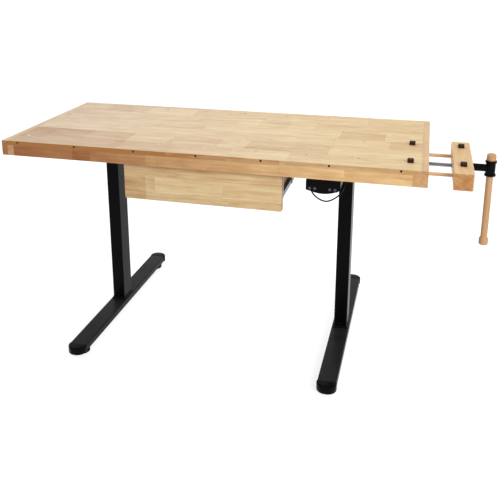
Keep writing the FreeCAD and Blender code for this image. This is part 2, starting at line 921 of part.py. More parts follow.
# Motor housings: sheet boxes on the inner columns, closed above by the side brackets
def make_housings():
    motors = []
    wide, deep = s.housing_width / 2, s.housing_depth / 2
    wall = s.housing_wall
    for side, sign in SIDES:
        x = column_x * sign
        blank = block(f"{side}_housing_blank", (x - wide, x + wide), (-deep, deep),
                      (housing_z, bracket_z))
        soft = rounded(f"{side}_housing_soft", blank, s.column_corner, along(Z_WAY))
        inside = block(f"{side}_housing_inside", (x - wide + wall, x + wide - wall),
                       (wall - deep, deep - wall), (gearbox_z, bracket_z + s.overrun))
        hole = cylinder(f"{side}_housing_hole", "z", s.nut_tube_radius,
                        (x, 0, housing_z - s.overrun), wall + s.overrun * 2)
        finished(cut(f"{side}_motor_housing", soft, [inside, hole]))
        box = block(f"{side}_gearbox", (x - s.gearbox_width / 2, x + s.gearbox_width / 2),
                    (s.gearbox_depth / -2, s.gearbox_depth / 2),
                    (gearbox_z, gearbox_z + s.gearbox_height))
        motor = cylinder(f"{side}_motor", "z", s.motor_radius,
                         (x, 0, gearbox_z + s.gearbox_height), s.motor_length)
        socket = cylinder(f"{side}_gearbox_socket", "z", s.spindle_radius + s.running_gap,
                          (x, 0, gearbox_z - s.overrun), s.spindle_engaged + s.overrun)
        whole = joined(f"{side}_gearmotor_blank", [box, motor])
        motors.append(cut(f"{side}_gearmotor", whole, [socket]))
    finished(grouped("gearmotors", motors))


# Side brackets lie on the housings and are screwed up into the bearers
def make_brackets():
    plates, screws = [], []
    wide, reach = s.bracket_width / 2, s.bracket_length / 2
    for side, sign in SIDES:
        x = column_x * sign
        spots = [(x + s.bracket_screw_reach * i, (reach - s.bracket_screw_inset) * j)
                 for i in (-1, 1) for j in (-1, 1)]
        tools = []
        for across, lengthwise in spots:
            tools.append(cylinder("bracket_hole", "z", s.bracket_screw / 2,
                                  (across, lengthwise, bracket_z - s.overrun),
                                  s.bracket_thick + s.overrun * 2))
            shank = cylinder("bracket_screw_shank", "z", s.bracket_screw / 2,
                             (across, lengthwise, bracket_z), s.bracket_thick)
            head = cylinder("bracket_screw_head", "z", s.bracket_screw_head / 2,
                            (across, lengthwise, bracket_z - s.bracket_screw_head_thick),
                            s.bracket_screw_head_thick)
            screws.append(joined("bracket_screw", [shank, head]))
        strip = block(f"{side}_bracket_strip", (x - wide, x + wide), (-reach, reach),
                      (bracket_z, under_z))
        lid = block(f"{side}_bracket_lid",
                    (x - s.housing_width / 2, x + s.housing_width / 2),
                    (s.housing_depth / -2, s.housing_depth / 2), (bracket_z, under_z))
        plate = joined(f"{side}_bracket_plate", [strip, lid])
        plates.append(cut(f"{side}_side_bracket", plate, tools))
    finished(grouped("side_brackets", plates))
    finished(grouped("bracket_screws", screws))


# Crossbeam: a tube between the two motor housings
def make_crossbeam():
    body = new_body("crossbeam")
    reach = column_x - s.housing_width / 2
    deep, wall = s.beam_depth / 2, s.beam_wall
    low = bracket_z - s.beam_height
    outside = new_sketch(body, "YZ_Plane", -reach)
    rectangle(outside, (-deep, low), (deep, bracket_z))
    pad(body, outside, reach * 2)
    inside = new_sketch(body, "YZ_Plane", reach)
    rectangle(inside, (wall - deep, low + wall), (deep - wall, bracket_z - wall))
    pocket(body, inside, reach * 2 + s.overrun)
    finished(body)


# Control box under the right bracket, in front of its housing
control_back = s.housing_depth / -2 - s.control_gap
control_front = control_back - s.control_length
control_z = bracket_z - s.control_height
gland_x = column_x + s.gland_shift
gland_z = control_z + s.control_height / 2


def make_control_box():
    wide = s.control_width / 2
    blank = block("control_box_blank", (column_x - wide, column_x + wide),
                  (control_front, control_back), (control_z, bracket_z))
    soft = rounded("control_box_soft", blank, s.control_edge, along(Y_WAY))
    inlet = block("control_box_inlet",
                  (column_x - s.inlet_width / 2, column_x + s.inlet_width / 2),
                  (control_back - s.inlet_depth, control_back + s.overrun),
                  (gland_z - s.inlet_height / 2, gland_z + s.inlet_height / 2))
    finished(cut("control_box", soft, [inlet]))
    finished(cylinder("cable_gland", "y", s.gland_radius,
                      (gland_x, control_front - s.gland_length, gland_z), s.gland_length))


# Handset: a moulded box under the front rail, with a bowed lower edge and four buttons
handset_front = front + s.handset_inset
handset_right = s.handset_left + s.handset_width
button_z = under_z - s.button_drop
button_x = s.handset_left + s.button_first
button_spots = (
    ("button_up", button_x),
    ("button_down", button_x + s.button_pitch),
    ("button_memory_one", button_x + s.button_group_gap),
    ("button_memory_two", button_x + s.button_group_gap + s.button_pitch),
)
relief_x = s.handset_left + s.relief_shift
relief_y = handset_front + s.relief_inset
relief_z = under_z - s.relief_drop
RELIEF_TILT = 30


def make_handset():
    body = new_body("handset_case")
    face = new_sketch(body, "XZ_Plane", -handset_front - s.handset_depth)
    left = s.handset_left
    step = left + s.handset_step
    bow_end = step + s.handset_bow_width
    outline(face, [
        (left + s.handset_chamfer, under_z),
        (left, under_z - s.handset_chamfer),
        (left, under_z - s.handset_end_height),
        (step, under_z - s.handset_end_height - s.handset_step_drop),
        (bow_end, under_z - s.handset_bow_height, s.handset_bow_radius, -1),
        (handset_right, under_z - s.handset_right_height, s.handset_corner, -1),
        (handset_right, under_z),
    ])
    pad(body, face, s.handset_depth)
    well = new_sketch(body, "XZ_Plane", -handset_front)
    for _, x in button_spots:
        circle(well, (x, button_z), s.button_radius + s.button_slack)
    pocket(body, well, s.button_well)
    relief = doc.addObject("Part::Cylinder", "handset_relief")
    bind(relief, "Radius", s.relief_radius)
    bind(relief, "Height", s.relief_length)
    place(turn(relief, Y_WAY, -RELIEF_TILT), relief_x, relief_y, relief_z)
    finished(joined("handset", [body, relief]))


def make_buttons():
    for label, x in button_spots:
        start = handset_front - s.button_proud
        finished(cylinder(label, "y", s.button_radius, (x, start, button_z), s.button_depth))


# Handset cable: it leaves the handset downwards, hangs in a loop and runs back to the box.
# The points are places on the hanging cable, chosen by hand.
CABLE_POINTS = (
    (269.5, -308, 697.4),
    (275.7, -308, 686.7),
    (284.3, -308, 675.5),
    (307, -308, 660.5),
    (333, -308, 659.5),
    (369.5, -306, 686.5),
    (380.5, -292, 717),
    (382, -268, 736),
    (380, -244, 733),
    (378, -225, 725),
    (378, -207, 725),
)
ARC_SHARE = 0.45


def tube_along(points, radius):
    """A round tube along straight runs that tangent arcs join."""
    edges, radii, start = [], [], points[0]
    for before, corner, after in zip(points, points[1:], points[2:]):
        inward, outward = corner - before, after - corner
        half_turn = inward.getAngle(outward) / 2
        reach = ARC_SHARE * min(inward.Length, outward.Length)
        bend = reach / math.tan(half_turn)
        inward.normalize()
        outward.normalize()
        begin, end = corner - inward * reach, corner + outward * reach
        towards = (outward - inward).normalize()
        middle = corner + towards * (bend / math.cos(half_turn) - bend)
        edges.append(Part.LineSegment(start, begin).toShape())
        edges.append(Part.Arc(begin, middle, end).toShape())
        radii.append(bend)
        start = end
    edges.append(Part.LineSegment(start, points[-1]).toShape())
    path = Part.Wire(edges)
    way = points[1] - points[0]
    ring = Part.Wire([Part.makeCircle(radius, points[0], way)])
    tube = path.makePipeShell([ring], True, False)
    return tube, path.Length, radii


def make_cable():
    points = [Vector(*point) for point in CABLE_POINTS]
    tube, length, radii = tube_along(points, s.cable_radius.value)
    expected = math.pi * s.cable_radius.value**2 * length
    runs = [(b - a).Length for a, b in zip(points, points[1:])]
    print("cable runs", [round(run, 1) for run in runs])
    print("cable radii", [round(bend, 1) for bend in radii])
    print("cable length", round(length, 1), "volume share", round(tube.Volume / expected, 5))
    item = doc.addObject("Part::Feature", "handset_cable")
    item.Label = "handset_cable"
    item.Shape = tube
    finished(item)


def make_cable_clip():
    points = [Vector(*point) for point in CABLE_POINTS]
    middles = [(a + b) / 2 for a, b in zip(points, points[1:])]
    at = max(middles, key=lambda middle: middle.z)
    wide, deep = s.clip_width / 2, s.clip_depth / 2
    x, y = dim(at.x) - top_middle, dim(at.y)
    low = under_z - s.clip_drop
    body = block("cable_clip_blank", (x - wide, x + wide), (y - deep, y + deep), (low, under_z))
    window = block("cable_clip_window",
                   (x - s.clip_window_width / 2, x + s.clip_window_width / 2),
                   (y - deep - s.overrun, y + deep + s.overrun),
                   (low + s.clip_floor, low + s.clip_floor + s.clip_window_height))
    finished(cut("cable_clip", body, [window]))


# Drawer: a board front that hangs below the box behind it, which is how it is pulled
drawer_y = front + s.drawer_front_inset
drawer_top = under_z - s.drawer_front_gap
drawer_z = drawer_top - s.drawer_front_height
box_front = drawer_y + s.drawer_front_thick
box_back = s.beam_depth / -2 - s.box_beam_gap
box_z = drawer_z + s.box_rise
box_top = box_z + s.box_height
box_half = s.box_width / 2


def make_drawer():
    half = s.drawer_width / 2
    blank = block("drawer_front_blank", (-half, half), (drawer_y, box_front),
                  (drawer_z, drawer_top))
    finished(rounded("drawer_front", blank, s.drawer_front_corner, along(Y_WAY)))
    board, groove = s.box_board, s.box_groove
    floor_low = box_z + s.box_bottom_rise
    floor_high = floor_low + s.box_bottom_thick
    sides = []
    for side, sign in SIDES:
        edges = (box_half - board, box_half) if sign > 0 else (-box_half, board - box_half)
        plank = block(f"{side}_drawer_blank", edges, (box_front, box_back), (box_z, box_top))
        slot = block(f"{side}_drawer_slot", (board - box_half - groove, box_half - board + groove),
                     (box_front - s.overrun, box_back + s.overrun), (floor_low, floor_high))
        sides.append(cut(f"{side}_drawer_side", plank, [slot]))
    finished(grouped("drawer_sides", sides))
    inner = box_half - board
    finished(block("drawer_back", (-inner, inner), (box_back - board, box_back),
                   (floor_high, box_top)))
    finished(block("drawer_bottom", (-inner - groove, inner + groove), (box_front, box_back),
                   (floor_low, floor_high)))


# Runners: an angle under each side of the box, with a tongue that rides in a hung channel
def make_runners():
    sheet_thick = s.runner_sheet
    channel_low = box_z - sheet_thick * 2 - s.glide_slack
    channel_high = channel_low + s.runner_height
    channel_out = box_half + s.runner_space
    channel_in = box_half + sheet_thick + s.glide_slack
    tongue_low = box_z + s.tongue_rise
    slides, channels, hangers = [], [], []
    for side, sign in SIDES:

        def across(low, high):
            return (low, high) if sign > 0 else (-high, -low)

        def strip(name, low, high, z_low, z_high, start=box_front, end=box_back):
            return block(f"{side}_{name}", across(low, high), (start, end), (z_low, z_high))

        ledge = strip("slide_ledge", box_half - s.runner_ledge, box_half + sheet_thick,
                      box_z - sheet_thick, box_z)
        wall = strip("slide_wall", box_half, box_half + sheet_thick,
                     box_z - sheet_thick, tongue_low + sheet_thick)
        tongue = strip("slide_tongue", box_half, box_half + s.tongue_reach,
                       tongue_low, tongue_low + sheet_thick)
        slides.append(joined(f"{side}_drawer_slide", [ledge, wall, tongue]))
        mouth = box_front + s.glide_slack
        web = strip("channel_web", channel_out - sheet_thick, channel_out,
                    channel_low, channel_high, mouth)
        floor = strip("channel_floor", channel_in, channel_out,
                      channel_low, channel_low + sheet_thick, mouth)
        roof = strip("channel_roof", channel_in, channel_out,
                     channel_high - sheet_thick, channel_high, mouth)
        glides = []
        for start in (mouth, box_back - s.glide_length):
            glides.append(strip("channel_glide", channel_in, channel_out - sheet_thick,
                                channel_low + sheet_thick, tongue_low - s.glide_slack,
                                start, start + s.glide_length))
        channels.append(joined(f"{side}_drawer_channel", [web, floor, roof, *glides]))
        stops = ((s.front_hanger_inset, under_z), (s.rear_hanger_inset, panel_z))
        for inset, ceiling in stops:
            y = front + inset
            span = (y, y + s.hanger_width)
            out = channel_out + s.hanger_thick
            strap = block(f"{side}_hanger_strap", across(channel_out, out), span,
                          (channel_low, ceiling))
            flange = block(f"{side}_hanger_flange", across(channel_out, out + s.hanger_flange),
                           span, (ceiling - s.hanger_thick, ceiling))
            hangers.append(joined(f"{side}_drawer_hanger", [strap, flange]))
    finished(grouped("drawer_slides", slides))
    finished(grouped("drawer_channels", channels))
    finished(grouped("drawer_hangers", hangers))


# Vise jaw: a block as thick as the top, bored for the rods, the screw and two dogs
def make_jaw():
    body = new_body("vise_jaw")
    face = new_sketch(body, "XY_Plane", under_z)
    rectangle(face, (jaw_inner, front), (jaw_outer, front + s.jaw_length))
    pad(body, face, top_z - under_z)
    tall = along(Z_WAY)
    body_fillet(body, s.jaw_corner,
                lambda e: tall(e) and abs(e.CenterOfMass.x - jaw_outer.value) < 1e-6)
    rods = new_sketch(body, "YZ_Plane", jaw_inner + s.rod_seat)
    for row in rod_rows:
        circle(rods, (row, vise_z), s.rod_radius)
    pocket(body, rods, s.rod_seat + s.overrun)
    screw = new_sketch(body, "YZ_Plane", jaw_outer)
    circle(screw, (vise_y, vise_z), screw_bore)
    pocket(body, screw, s.jaw_thick + s.overrun)
    room = new_sketch(body, "YZ_Plane", jaw_inner + s.collar_length + s.collar_room)
    circle(room, (vise_y, vise_z), s.collar_radius + s.collar_room)
    pocket(body, room, s.collar_length + s.collar_room + s.overrun)
    dogs = new_sketch(body, "XY_Plane", top_z)
    for row in rod_rows:
        circle(dogs, (jaw_middle, row), dog_radius)
    pocket(body, dogs, s.dog_blind_depth)
    finished(body)


def make_rods():
    items = []
    for row in rod_rows:
        items.append(cylinder("vise_guide_rod", "x", s.rod_radius, (rod_tip, row, vise_z),
                              jaw_inner + s.rod_seat - rod_tip))
    finished(grouped("vise_guide_rods", items))


# Vise screw with its collar, and the cast hub that the handle slides through
hub_start = jaw_outer + s.thrust_gap
sleeve_x = half_top + hub_reach


def make_screw_and_hub():
    finished(cylinder("vise_screw", "x", s.screw_radius, (rod_tip, vise_y, vise_z),
                      hub_start + s.rod_seat - rod_tip))
    start = jaw_inner + s.thrust_gap
    ring = cylinder("vise_collar_blank", "x", s.collar_radius,
                    (start, vise_y, vise_z), s.collar_length)
    bore = cylinder("vise_collar_bore", "x", s.screw_radius,
                    (start - s.overrun, vise_y, vise_z), s.collar_length + s.overrun * 2)
    finished(cut("vise_collar", ring, [bore]))
    neck = cylinder("hub_neck", "x", s.neck_radius, (hub_start, vise_y, vise_z),
                    s.neck_length + s.sleeve_radius)
    low = vise_z - s.sleeve_height / 2
    parts = [neck, cylinder("hub_sleeve", "z", s.sleeve_radius, (sleeve_x, vise_y, low),
                            s.sleeve_height)]
    for z in (low, vise_z + s.sleeve_height / 2 - s.sleeve_rim_height):
        parts.append(cylinder("hub_rim", "z", s.sleeve_rim_radius, (sleeve_x, vise_y, z),
                              s.sleeve_rim_height))
    cast = joined("hub_casting", parts)
    tools = [cylinder("hub_handle_bore", "z", s.handle_radius + s.handle_slack,
                      (sleeve_x, vise_y, low - s.overrun), s.sleeve_height + s.overrun * 2),
             cylinder("hub_screw_bore", "x", s.screw_radius,
                      (hub_start - s.overrun, vise_y, vise_z), s.rod_seat + s.overrun)]
    finished(cut("vise_hub", cast, tools))


def crown_radius(height):
    """The radius of a knob's side, which swells from its waist to its widest in the middle."""
    swell = s.knob_radius - s.knob_waist_radius
    return (height * height / 4 + swell * swell) / (swell * 2)


# Handle: turned in wood with its lower knob, and the upper knob glued on a tenon
def make_handle():
    seat = s.sleeve_height / 2
    body = new_body("vise_handle")
    profile = new_sketch(body, "XZ_Plane")
    foot = seat - s.handle_length
    waist, rod = s.knob_waist_radius, s.handle_radius
    low = foot - s.bottom_knob_height
    tenon = s.tenon_radius
    outline(profile, [
        (0, low),
        (waist, low),
        (waist, foot, crown_radius(s.bottom_knob_height), -1),
        (rod, foot),
        (rod, seat),
        (tenon, seat),
        (tenon, seat + s.tenon_length),
        (0, seat + s.tenon_length),
    ])
    revolved(body, profile, "Z_Axis")
    place(body, sleeve_x, vise_y, vise_z)
    finished(body)
    cap = new_body("handle_knob")
    profile = new_sketch(cap, "XZ_Plane")
    outline(profile, [
        (0, s.tenon_length),
        (tenon, s.tenon_length),
        (tenon, 0),
        (waist, 0),
        (waist, s.top_knob_height, crown_radius(s.top_knob_height), -1),
        (0, s.top_knob_height),
    ])
    revolved(cap, profile, "Z_Axis")
    place(cap, sleeve_x, vise_y, vise_z + seat)
    finished(cap)


# Bench dogs: round plastic pegs that stand in blind holes, with one flat on the head
def make_dogs():
    spots = (
        ("bench_dog_front", dog_last, front_row, 1),
        ("bench_dog_rear", dog_last, second_row, 1),
        ("jaw_dog_front", jaw_middle, front_row, -1),
        ("jaw_dog_rear", jaw_middle, second_row, -1),
    )
    for label, x, y, way in spots:
        body = new_body(label)
        profile = new_sketch(body, "XZ_Plane")
        radius, edge = dog_radius - s.dog_slack, s.dog_edge
        outline(profile, [
            (0, -s.dog_blind_depth),
            (radius, -s.dog_blind_depth),
            (radius, s.dog_head_height - edge),
            (radius - edge, s.dog_head_height),
            (0, s.dog_head_height),
        ])
        revolved(body, profile, "Z_Axis")
        flat = new_sketch(body, "XY_Plane", s.dog_head_height)
        far = dog_radius + s.overrun
        rectangle(flat, (s.dog_flat, -far), (far, far))
        pocket(body, flat, s.dog_head_height)
        body.Placement = FreeCAD.Placement(Vector(), FreeCAD.Rotation(Z_WAY, 0 if way > 0 else 180))
        place(body, x, y, top_z)
        finished(body)


make_top_panel()
make_front_rail()
make_back_rail()
make_end_caps()
make_cross_rails()
make_bearers()
make_guide_block()
make_outer_columns()
make_column_bushes()
make_nut_tubes()
make_spindles()
make_inner_columns()
make_feet()
make_foot_caps()
make_base_screws()
make_levellers()
make_housings()
make_brackets()
make_crossbeam()
make_control_box()
make_handset()
make_buttons()
make_cable()
make_cable_clip()
make_drawer()
make_runners()
make_jaw()
make_rods()
make_screw_and_hub()
make_handle()
make_dogs()
doc.recompute()

# Nothing is written unless every object and every piece is sound
for item in doc.Objects:
    if any(word in item.State for word in ("Invalid", "Error")):
        raise ValueError(f"{item.Label} could not be made: {item.State}")
for piece in pieces:
    if piece.Shape.isNull() or not piece.Shape.isValid() or not piece.Shape.Solids:
        raise ValueError(f"{piece.Label} has no sound shape")
os.makedirs("parts", exist_ok=True)
for piece in pieces:
    piece.Shape.exportStep(f"parts/{piece.Label}.step")
box = Part.makeCompound([piece.Shape for piece in pieces]).BoundBox
print(len(pieces), "pieces, from", (round(box.XMin, 2), round(box.YMin, 2), round(box.ZMin, 2)),
      "to", (round(box.XMax, 2), round(box.YMax, 2), round(box.ZMax, 2)))
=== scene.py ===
"""The looks of a height-adjustable workbench with an end vise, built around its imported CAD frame.

Metres, +Z up. The front of the bench faces -Y and its vise is at the +X end.
"""
import math

import bmesh
import bpy
from mathutils import Matrix, Vector


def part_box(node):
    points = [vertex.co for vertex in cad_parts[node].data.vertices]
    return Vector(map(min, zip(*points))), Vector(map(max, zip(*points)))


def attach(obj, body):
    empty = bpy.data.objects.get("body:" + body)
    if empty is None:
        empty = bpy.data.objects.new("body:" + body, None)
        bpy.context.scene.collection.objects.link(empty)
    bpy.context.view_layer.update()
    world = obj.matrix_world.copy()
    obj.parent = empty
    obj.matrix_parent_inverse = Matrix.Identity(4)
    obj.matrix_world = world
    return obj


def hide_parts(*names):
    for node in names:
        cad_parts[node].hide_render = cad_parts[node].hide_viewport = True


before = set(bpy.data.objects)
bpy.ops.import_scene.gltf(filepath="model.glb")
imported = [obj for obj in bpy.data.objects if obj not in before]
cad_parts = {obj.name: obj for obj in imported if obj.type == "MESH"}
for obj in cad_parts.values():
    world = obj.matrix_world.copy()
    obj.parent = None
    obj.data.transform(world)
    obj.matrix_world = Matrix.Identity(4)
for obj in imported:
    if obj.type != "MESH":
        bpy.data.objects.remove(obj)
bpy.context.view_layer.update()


# The two feet

# Each foot is a flat rectangular steel tube with its column's plate bolted through it. The tube is
# cut, degreased and powder coated black. Its open ends are closed by moulded caps.

# One millimetre, how near counts as the same place, and how near points are merged
MM = 0.001
NEAR = 0.01 * MM
MERGE_WITHIN = 0.001 * MM


def linear(code):
    """Turns an sRGB hex value into the linear colour that Blender works in."""
    shares = [int(code[start:start + 2], 16) / 255 for start in (1, 3, 5)]
    return [share / 12.92 if share <= 0.04045 else ((share + 0.055) / 1.055) ** 2.4
            for share in shares] + [1.0]


def add(tree, kind, inputs=None, **settings):
    """Adds one node. inputs gives each socket a value, or the socket that feeds it."""
    made = tree.nodes.new(kind)
    for name, value in settings.items():
        setattr(made, name, value)
    for socket, value in (inputs or {}).items():
        if isinstance(value, bpy.types.NodeSocket):
            tree.links.new(value, made.inputs[socket])
        else:
            made.inputs[socket].default_value = value
    return made


def new_finish(name, **sockets):
    """Starts a material and gives its node tree and its shader, with the shader's own constants set."""
    made = bpy.data.materials.new(name)
    made.use_nodes = True
    made.node_tree.nodes.clear()
    shader = add(made.node_tree, "ShaderNodeBsdfPrincipled")
    for socket, value in sockets.items():
        shader.inputs[socket.replace("_", " ")].default_value = value
    add(made.node_tree, "ShaderNodeOutputMaterial", {"Surface": shader.outputs[0]})
    return made, made.node_tree, shader


def vary(tree, shader, pattern, tints, roughness, relief=None, strength=0.0, height=0.0):
    """Lets a pattern swing the colour between two tints and the roughness between two values. A
    relief stands out of the surface by height, as strongly as strength says."""
    colour = add(tree, "ShaderNodeMix", {0: pattern, 6: linear(tints[0]), 7: linear(tints[1])},
                 data_type="RGBA").outputs[2]
    tree.links.new(colour, shader.inputs["Base Color"])
    rough = add(tree, "ShaderNodeMapRange", {"Value": pattern, "To Min": roughness[0],
                                             "To Max": roughness[1]}).outputs[0]
    tree.links.new(rough, shader.inputs["Roughness"])
    if relief is not None:
        bump = add(tree, "ShaderNodeBump", {"Strength": strength, "Distance": height,
                                            "Height": relief}).outputs[0]
        tree.links.new(bump, shader.inputs["Normal"])
    return colour


def dress(finish, *names):
    """Gives CAD nodes their finish in place of the plain one that they were packed with."""
    for name in names:
        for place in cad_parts[name].material_slots:
            place.material = finish


def middle(node):
    """The middle of a CAD node's box."""
    low, high = (Vector(corner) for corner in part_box(node))
    return (low + high) / 2


def start_block(size, place):
    """Adds a block at its size and place, and opens it for editing."""
    bpy.ops.object.select_all(action="DESELECT")
    bpy.ops.mesh.primitive_cube_add(size=1.0, location=place, scale=size)
    bpy.ops.object.mode_set(mode="EDIT")


def pick(kind, test):
    """Selects the verts, edges or faces, in edit mode, that pass a test on their place and on where
    they point: a face's or a vert's normal, or an edge's own direction."""
    bpy.ops.mesh.select_all(action="DESELECT")
    bpy.ops.mesh.select_mode(type={"verts": "VERT", "edges": "EDGE", "faces": "FACE"}[kind])
    shape = bmesh.from_edit_mesh(bpy.context.edit_object.data)
    for part in getattr(shape, kind):
        if kind == "verts":
            place, points = part.co, part.normal
        elif kind == "edges":
            place = (part.verts[0].co + part.verts[1].co) / 2
            points = (part.verts[1].co - part.verts[0].co).normalized()
        else:
            place, points = part.calc_center_median(), part.normal
        if test(place, points):
            part.select_set(True)
    shape.select_flush_mode()
    bmesh.update_edit_mesh(bpy.context.edit_object.data)


def upright_edge(place, points):
    """The test that picks upright edges, wherever they are."""
    return abs(points.z) > 0.9


def end_editing(smooth_angle):
    """Ends editing. Faces that meet at less than smooth_angle, in degrees, are shaded as one."""
    bpy.ops.object.mode_set(mode="OBJECT")
    bpy.ops.object.shade_smooth_by_angle(angle=math.radians(smooth_angle))
    return bpy.context.object


def joined_copies(pattern, places):
    """Copies a piece to each place, given as (location, turn), and joins the copies into one piece.
    The pattern itself goes."""
    bpy.ops.object.select_all(action="DESELECT")
    for location, turn in places:
        copy = bpy.data.objects.new("copy", pattern.data.copy())
        bpy.context.scene.collection.objects.link(copy)
        copy.location = location
        copy.rotation_euler = turn
        copy.select_set(True)
        bpy.context.view_layer.objects.active = copy
    bpy.data.objects.remove(pattern)
    bpy.ops.object.join()
    return bpy.context.object


def put_away(piece, name, finish, body, slot, *stands_for):
    """Ends a modelled piece: its place goes into its mesh, and it gets its finish, its body and the CAD
    nodes that it stands for. slot is not used."""
    piece.name = piece.data.name = name
    bpy.ops.object.select_all(action="DESELECT")
    piece.select_set(True)
    bpy.context.view_layer.objects.active = piece
    bpy.ops.object.transform_apply(location=True, rotation=True, scale=True)
    piece.data.materials.clear()
    piece.data.materials.append(finish)
    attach(piece, body)
    if stands_for:
        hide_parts(*stands_for)


# Powder coat on steel, sprayed as powder and baked: nearly black, satin, with the slight ripple
# of orange peel. Faces that look up, as on the feet, are greyed by a thin film of floor dust and
# by painted sheen.
powder_coat, tree, shader = new_finish("satin_black_powder_coat", IOR=1.5, Specular_IOR_Level=0.05)
coordinates = add(tree, "ShaderNodeTexCoord").outputs
where = coordinates["Object"]
peel = add(tree, "ShaderNodeTexNoise", {"Vector": where, "Scale": 1 / (2.2 * MM), "Detail": 2.0})
handling = add(tree, "ShaderNodeTexNoise", {"Vector": where, "Scale": 1 / (120 * MM),
                                            "Detail": 5.0}).outputs[0]
coat = vary(tree, shader, handling, ("#030304", "#08080a"), (0.24, 0.34),
            relief=peel.outputs[0], strength=0.12, height=0.3 * MM)
# Floor dust and painted sheen: faces that look up are mixed towards a grey.
upward = add(tree, "ShaderNodeSeparateXYZ", {0: coordinates["Normal"]}).outputs["Z"]
dust_and_sheen = add(tree, "ShaderNodeMapRange", {"Value": upward, "From Min": 0.8, "From Max": 1.0}).outputs[0]
dust_and_sheen = add(tree, "ShaderNodeMath", {0: dust_and_sheen, 1: handling}, operation="MULTIPLY").outputs[0]
dusted_and_sheened = add(tree, "ShaderNodeMix", {0: dust_and_sheen, 6: coat, 7: linear("#343436")}, data_type="RGBA")
tree.links.new(dusted_and_sheened.outputs[2], shader.inputs["Base Color"])
dress(powder_coat, "left_foot", "right_foot")

# Polypropylene, injection moulded in a spark-eroded tool: black, and matt from a fine even grain.
moulded_black, tree, shader = new_finish("moulded_black_polypropylene", IOR=1.49,
                                         Specular_IOR_Level=0.05)
where = add(tree, "ShaderNodeTexCoord").outputs["Object"]
grain = add(tree, "ShaderNodeTexVoronoi", {"Vector": where, "Scale": 1 / (0.7 * MM)})
flow = add(tree, "ShaderNodeTexNoise", {"Vector": where, "Scale": 1 / (30 * MM), "Detail": 3.0})
vary(tree, shader, flow.outputs[0], ("#040405", "#0a0a0c"), (0.2, 0.32),
     relief=grain.outputs["Distance"], strength=0.25, height=0.1 * MM)
for side in ("left", "right"):
    dress(moulded_black, f"levelling_foot_{side}_front", f"levelling_foot_{side}_back")

# Each cap is a moulded nose with a lip over the tube's end. One is shaped at the back and copied.
CAP_LENGTH = 0.036
CAP_OVERLAP = 0.0015
LIP_SIDE, LIP_TOP, LIP_BOTTOM = 0.002, 0.0014, 0.001
NOSE_CORNER, NOSE_TOP_ROUND, NOSE_BOTTOM_ROUND = 0.033, 0.0045, 0.0015
tube_low, tube_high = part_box("left_foot")
cap_width = tube_high[0] - tube_low[0] + LIP_SIDE * 2
cap_height = tube_high[2] - tube_low[2] + LIP_TOP + LIP_BOTTOM
cap_y = tube_high[1] - CAP_OVERLAP + CAP_LENGTH / 2
cap_z = tube_high[2] + LIP_TOP - cap_height / 2
start_block((cap_width, CAP_LENGTH, cap_height), (0.0, cap_y, cap_z))
pick("edges", lambda place, points: upright_edge(place, points) and place.y > 0)
bpy.ops.mesh.bevel(offset=NOSE_CORNER, segments=12, affect="EDGES")
pick("edges", lambda place, points: place.z > cap_height / 2 - NEAR and place.y > NEAR - CAP_LENGTH / 2)
bpy.ops.mesh.bevel(offset=NOSE_TOP_ROUND, segments=4, affect="EDGES")
pick("edges", lambda place, points: place.z < NEAR - cap_height / 2)
bpy.ops.mesh.bevel(offset=NOSE_BOTTOM_ROUND, segments=2, affect="EDGES")
nose = end_editing(smooth_angle=40)
tube_ends = [((middle(foot).x, cap_y * end, cap_z), (0.0, 0.0, turn))
             for foot in ("left_foot", "right_foot") for end, turn in ((1, 0.0), (-1, math.pi))]
put_away(joined_copies(nose, tube_ends), "foot_end_noses", moulded_black, "base", "black_plastic",
         "foot_end_caps")

# Steel as drawn and turned: grey, with fine rings from the tool.
turned_steel, tree, shader = new_finish("turned_steel", Metallic=1.0)
where = add(tree, "ShaderNodeTexCoord").outputs["Object"]
tool_marks = add(tree, "ShaderNodeTexNoise", {"Vector": where, "Scale": 1 / (0.9 * MM), "Detail": 3.0})
stain = add(tree, "ShaderNodeTexNoise", {"Vector": where, "Scale": 1 / (20 * MM), "Detail": 4.0})
vary(tree, shader, stain.outputs[0], ("#7a7a7e", "#acacb0"), (0.26, 0.42),
     relief=tool_marks.outputs[0], strength=0.3, height=0.1 * MM)
dress(turned_steel, "levelling_inserts")

# Screws, blackened: phosphate on rolled steel, nearly black and dull, with fine speckle.
black_screws, tree, shader = new_finish("phosphated_steel_screws", Metallic=0.6,
                                        Specular_IOR_Level=0.3)
where = add(tree, "ShaderNodeTexCoord").outputs["Object"]
speckle = add(tree, "ShaderNodeTexNoise", {"Vector": where, "Scale": 1 / (0.8 * MM), "Detail": 2.0})
vary(tree, shader, speckle.outputs[0], ("#101011", "#1e1e20"), (0.4, 0.6),
     relief=speckle.outputs[0], strength=0.3, height=0.1 * MM)
dress(black_screws, "base_screws")


# The columns and the lift inside them

# Each column is an outer tube on the foot and an inner one that slides in it on plastic bushes. A
# spindle turned by the gear motor lifts the inner tube through a bronze nut on a steel nut tube.

dress(powder_coat, "left_outer_column", "right_outer_column", "left_inner_column",
      "right_inner_column", "left_motor_housing", "right_motor_housing")
dress(moulded_black, "column_bushes")
dress(turned_steel, "nut_tubes", "gearmotors", "left_spindle", "right_spindle")

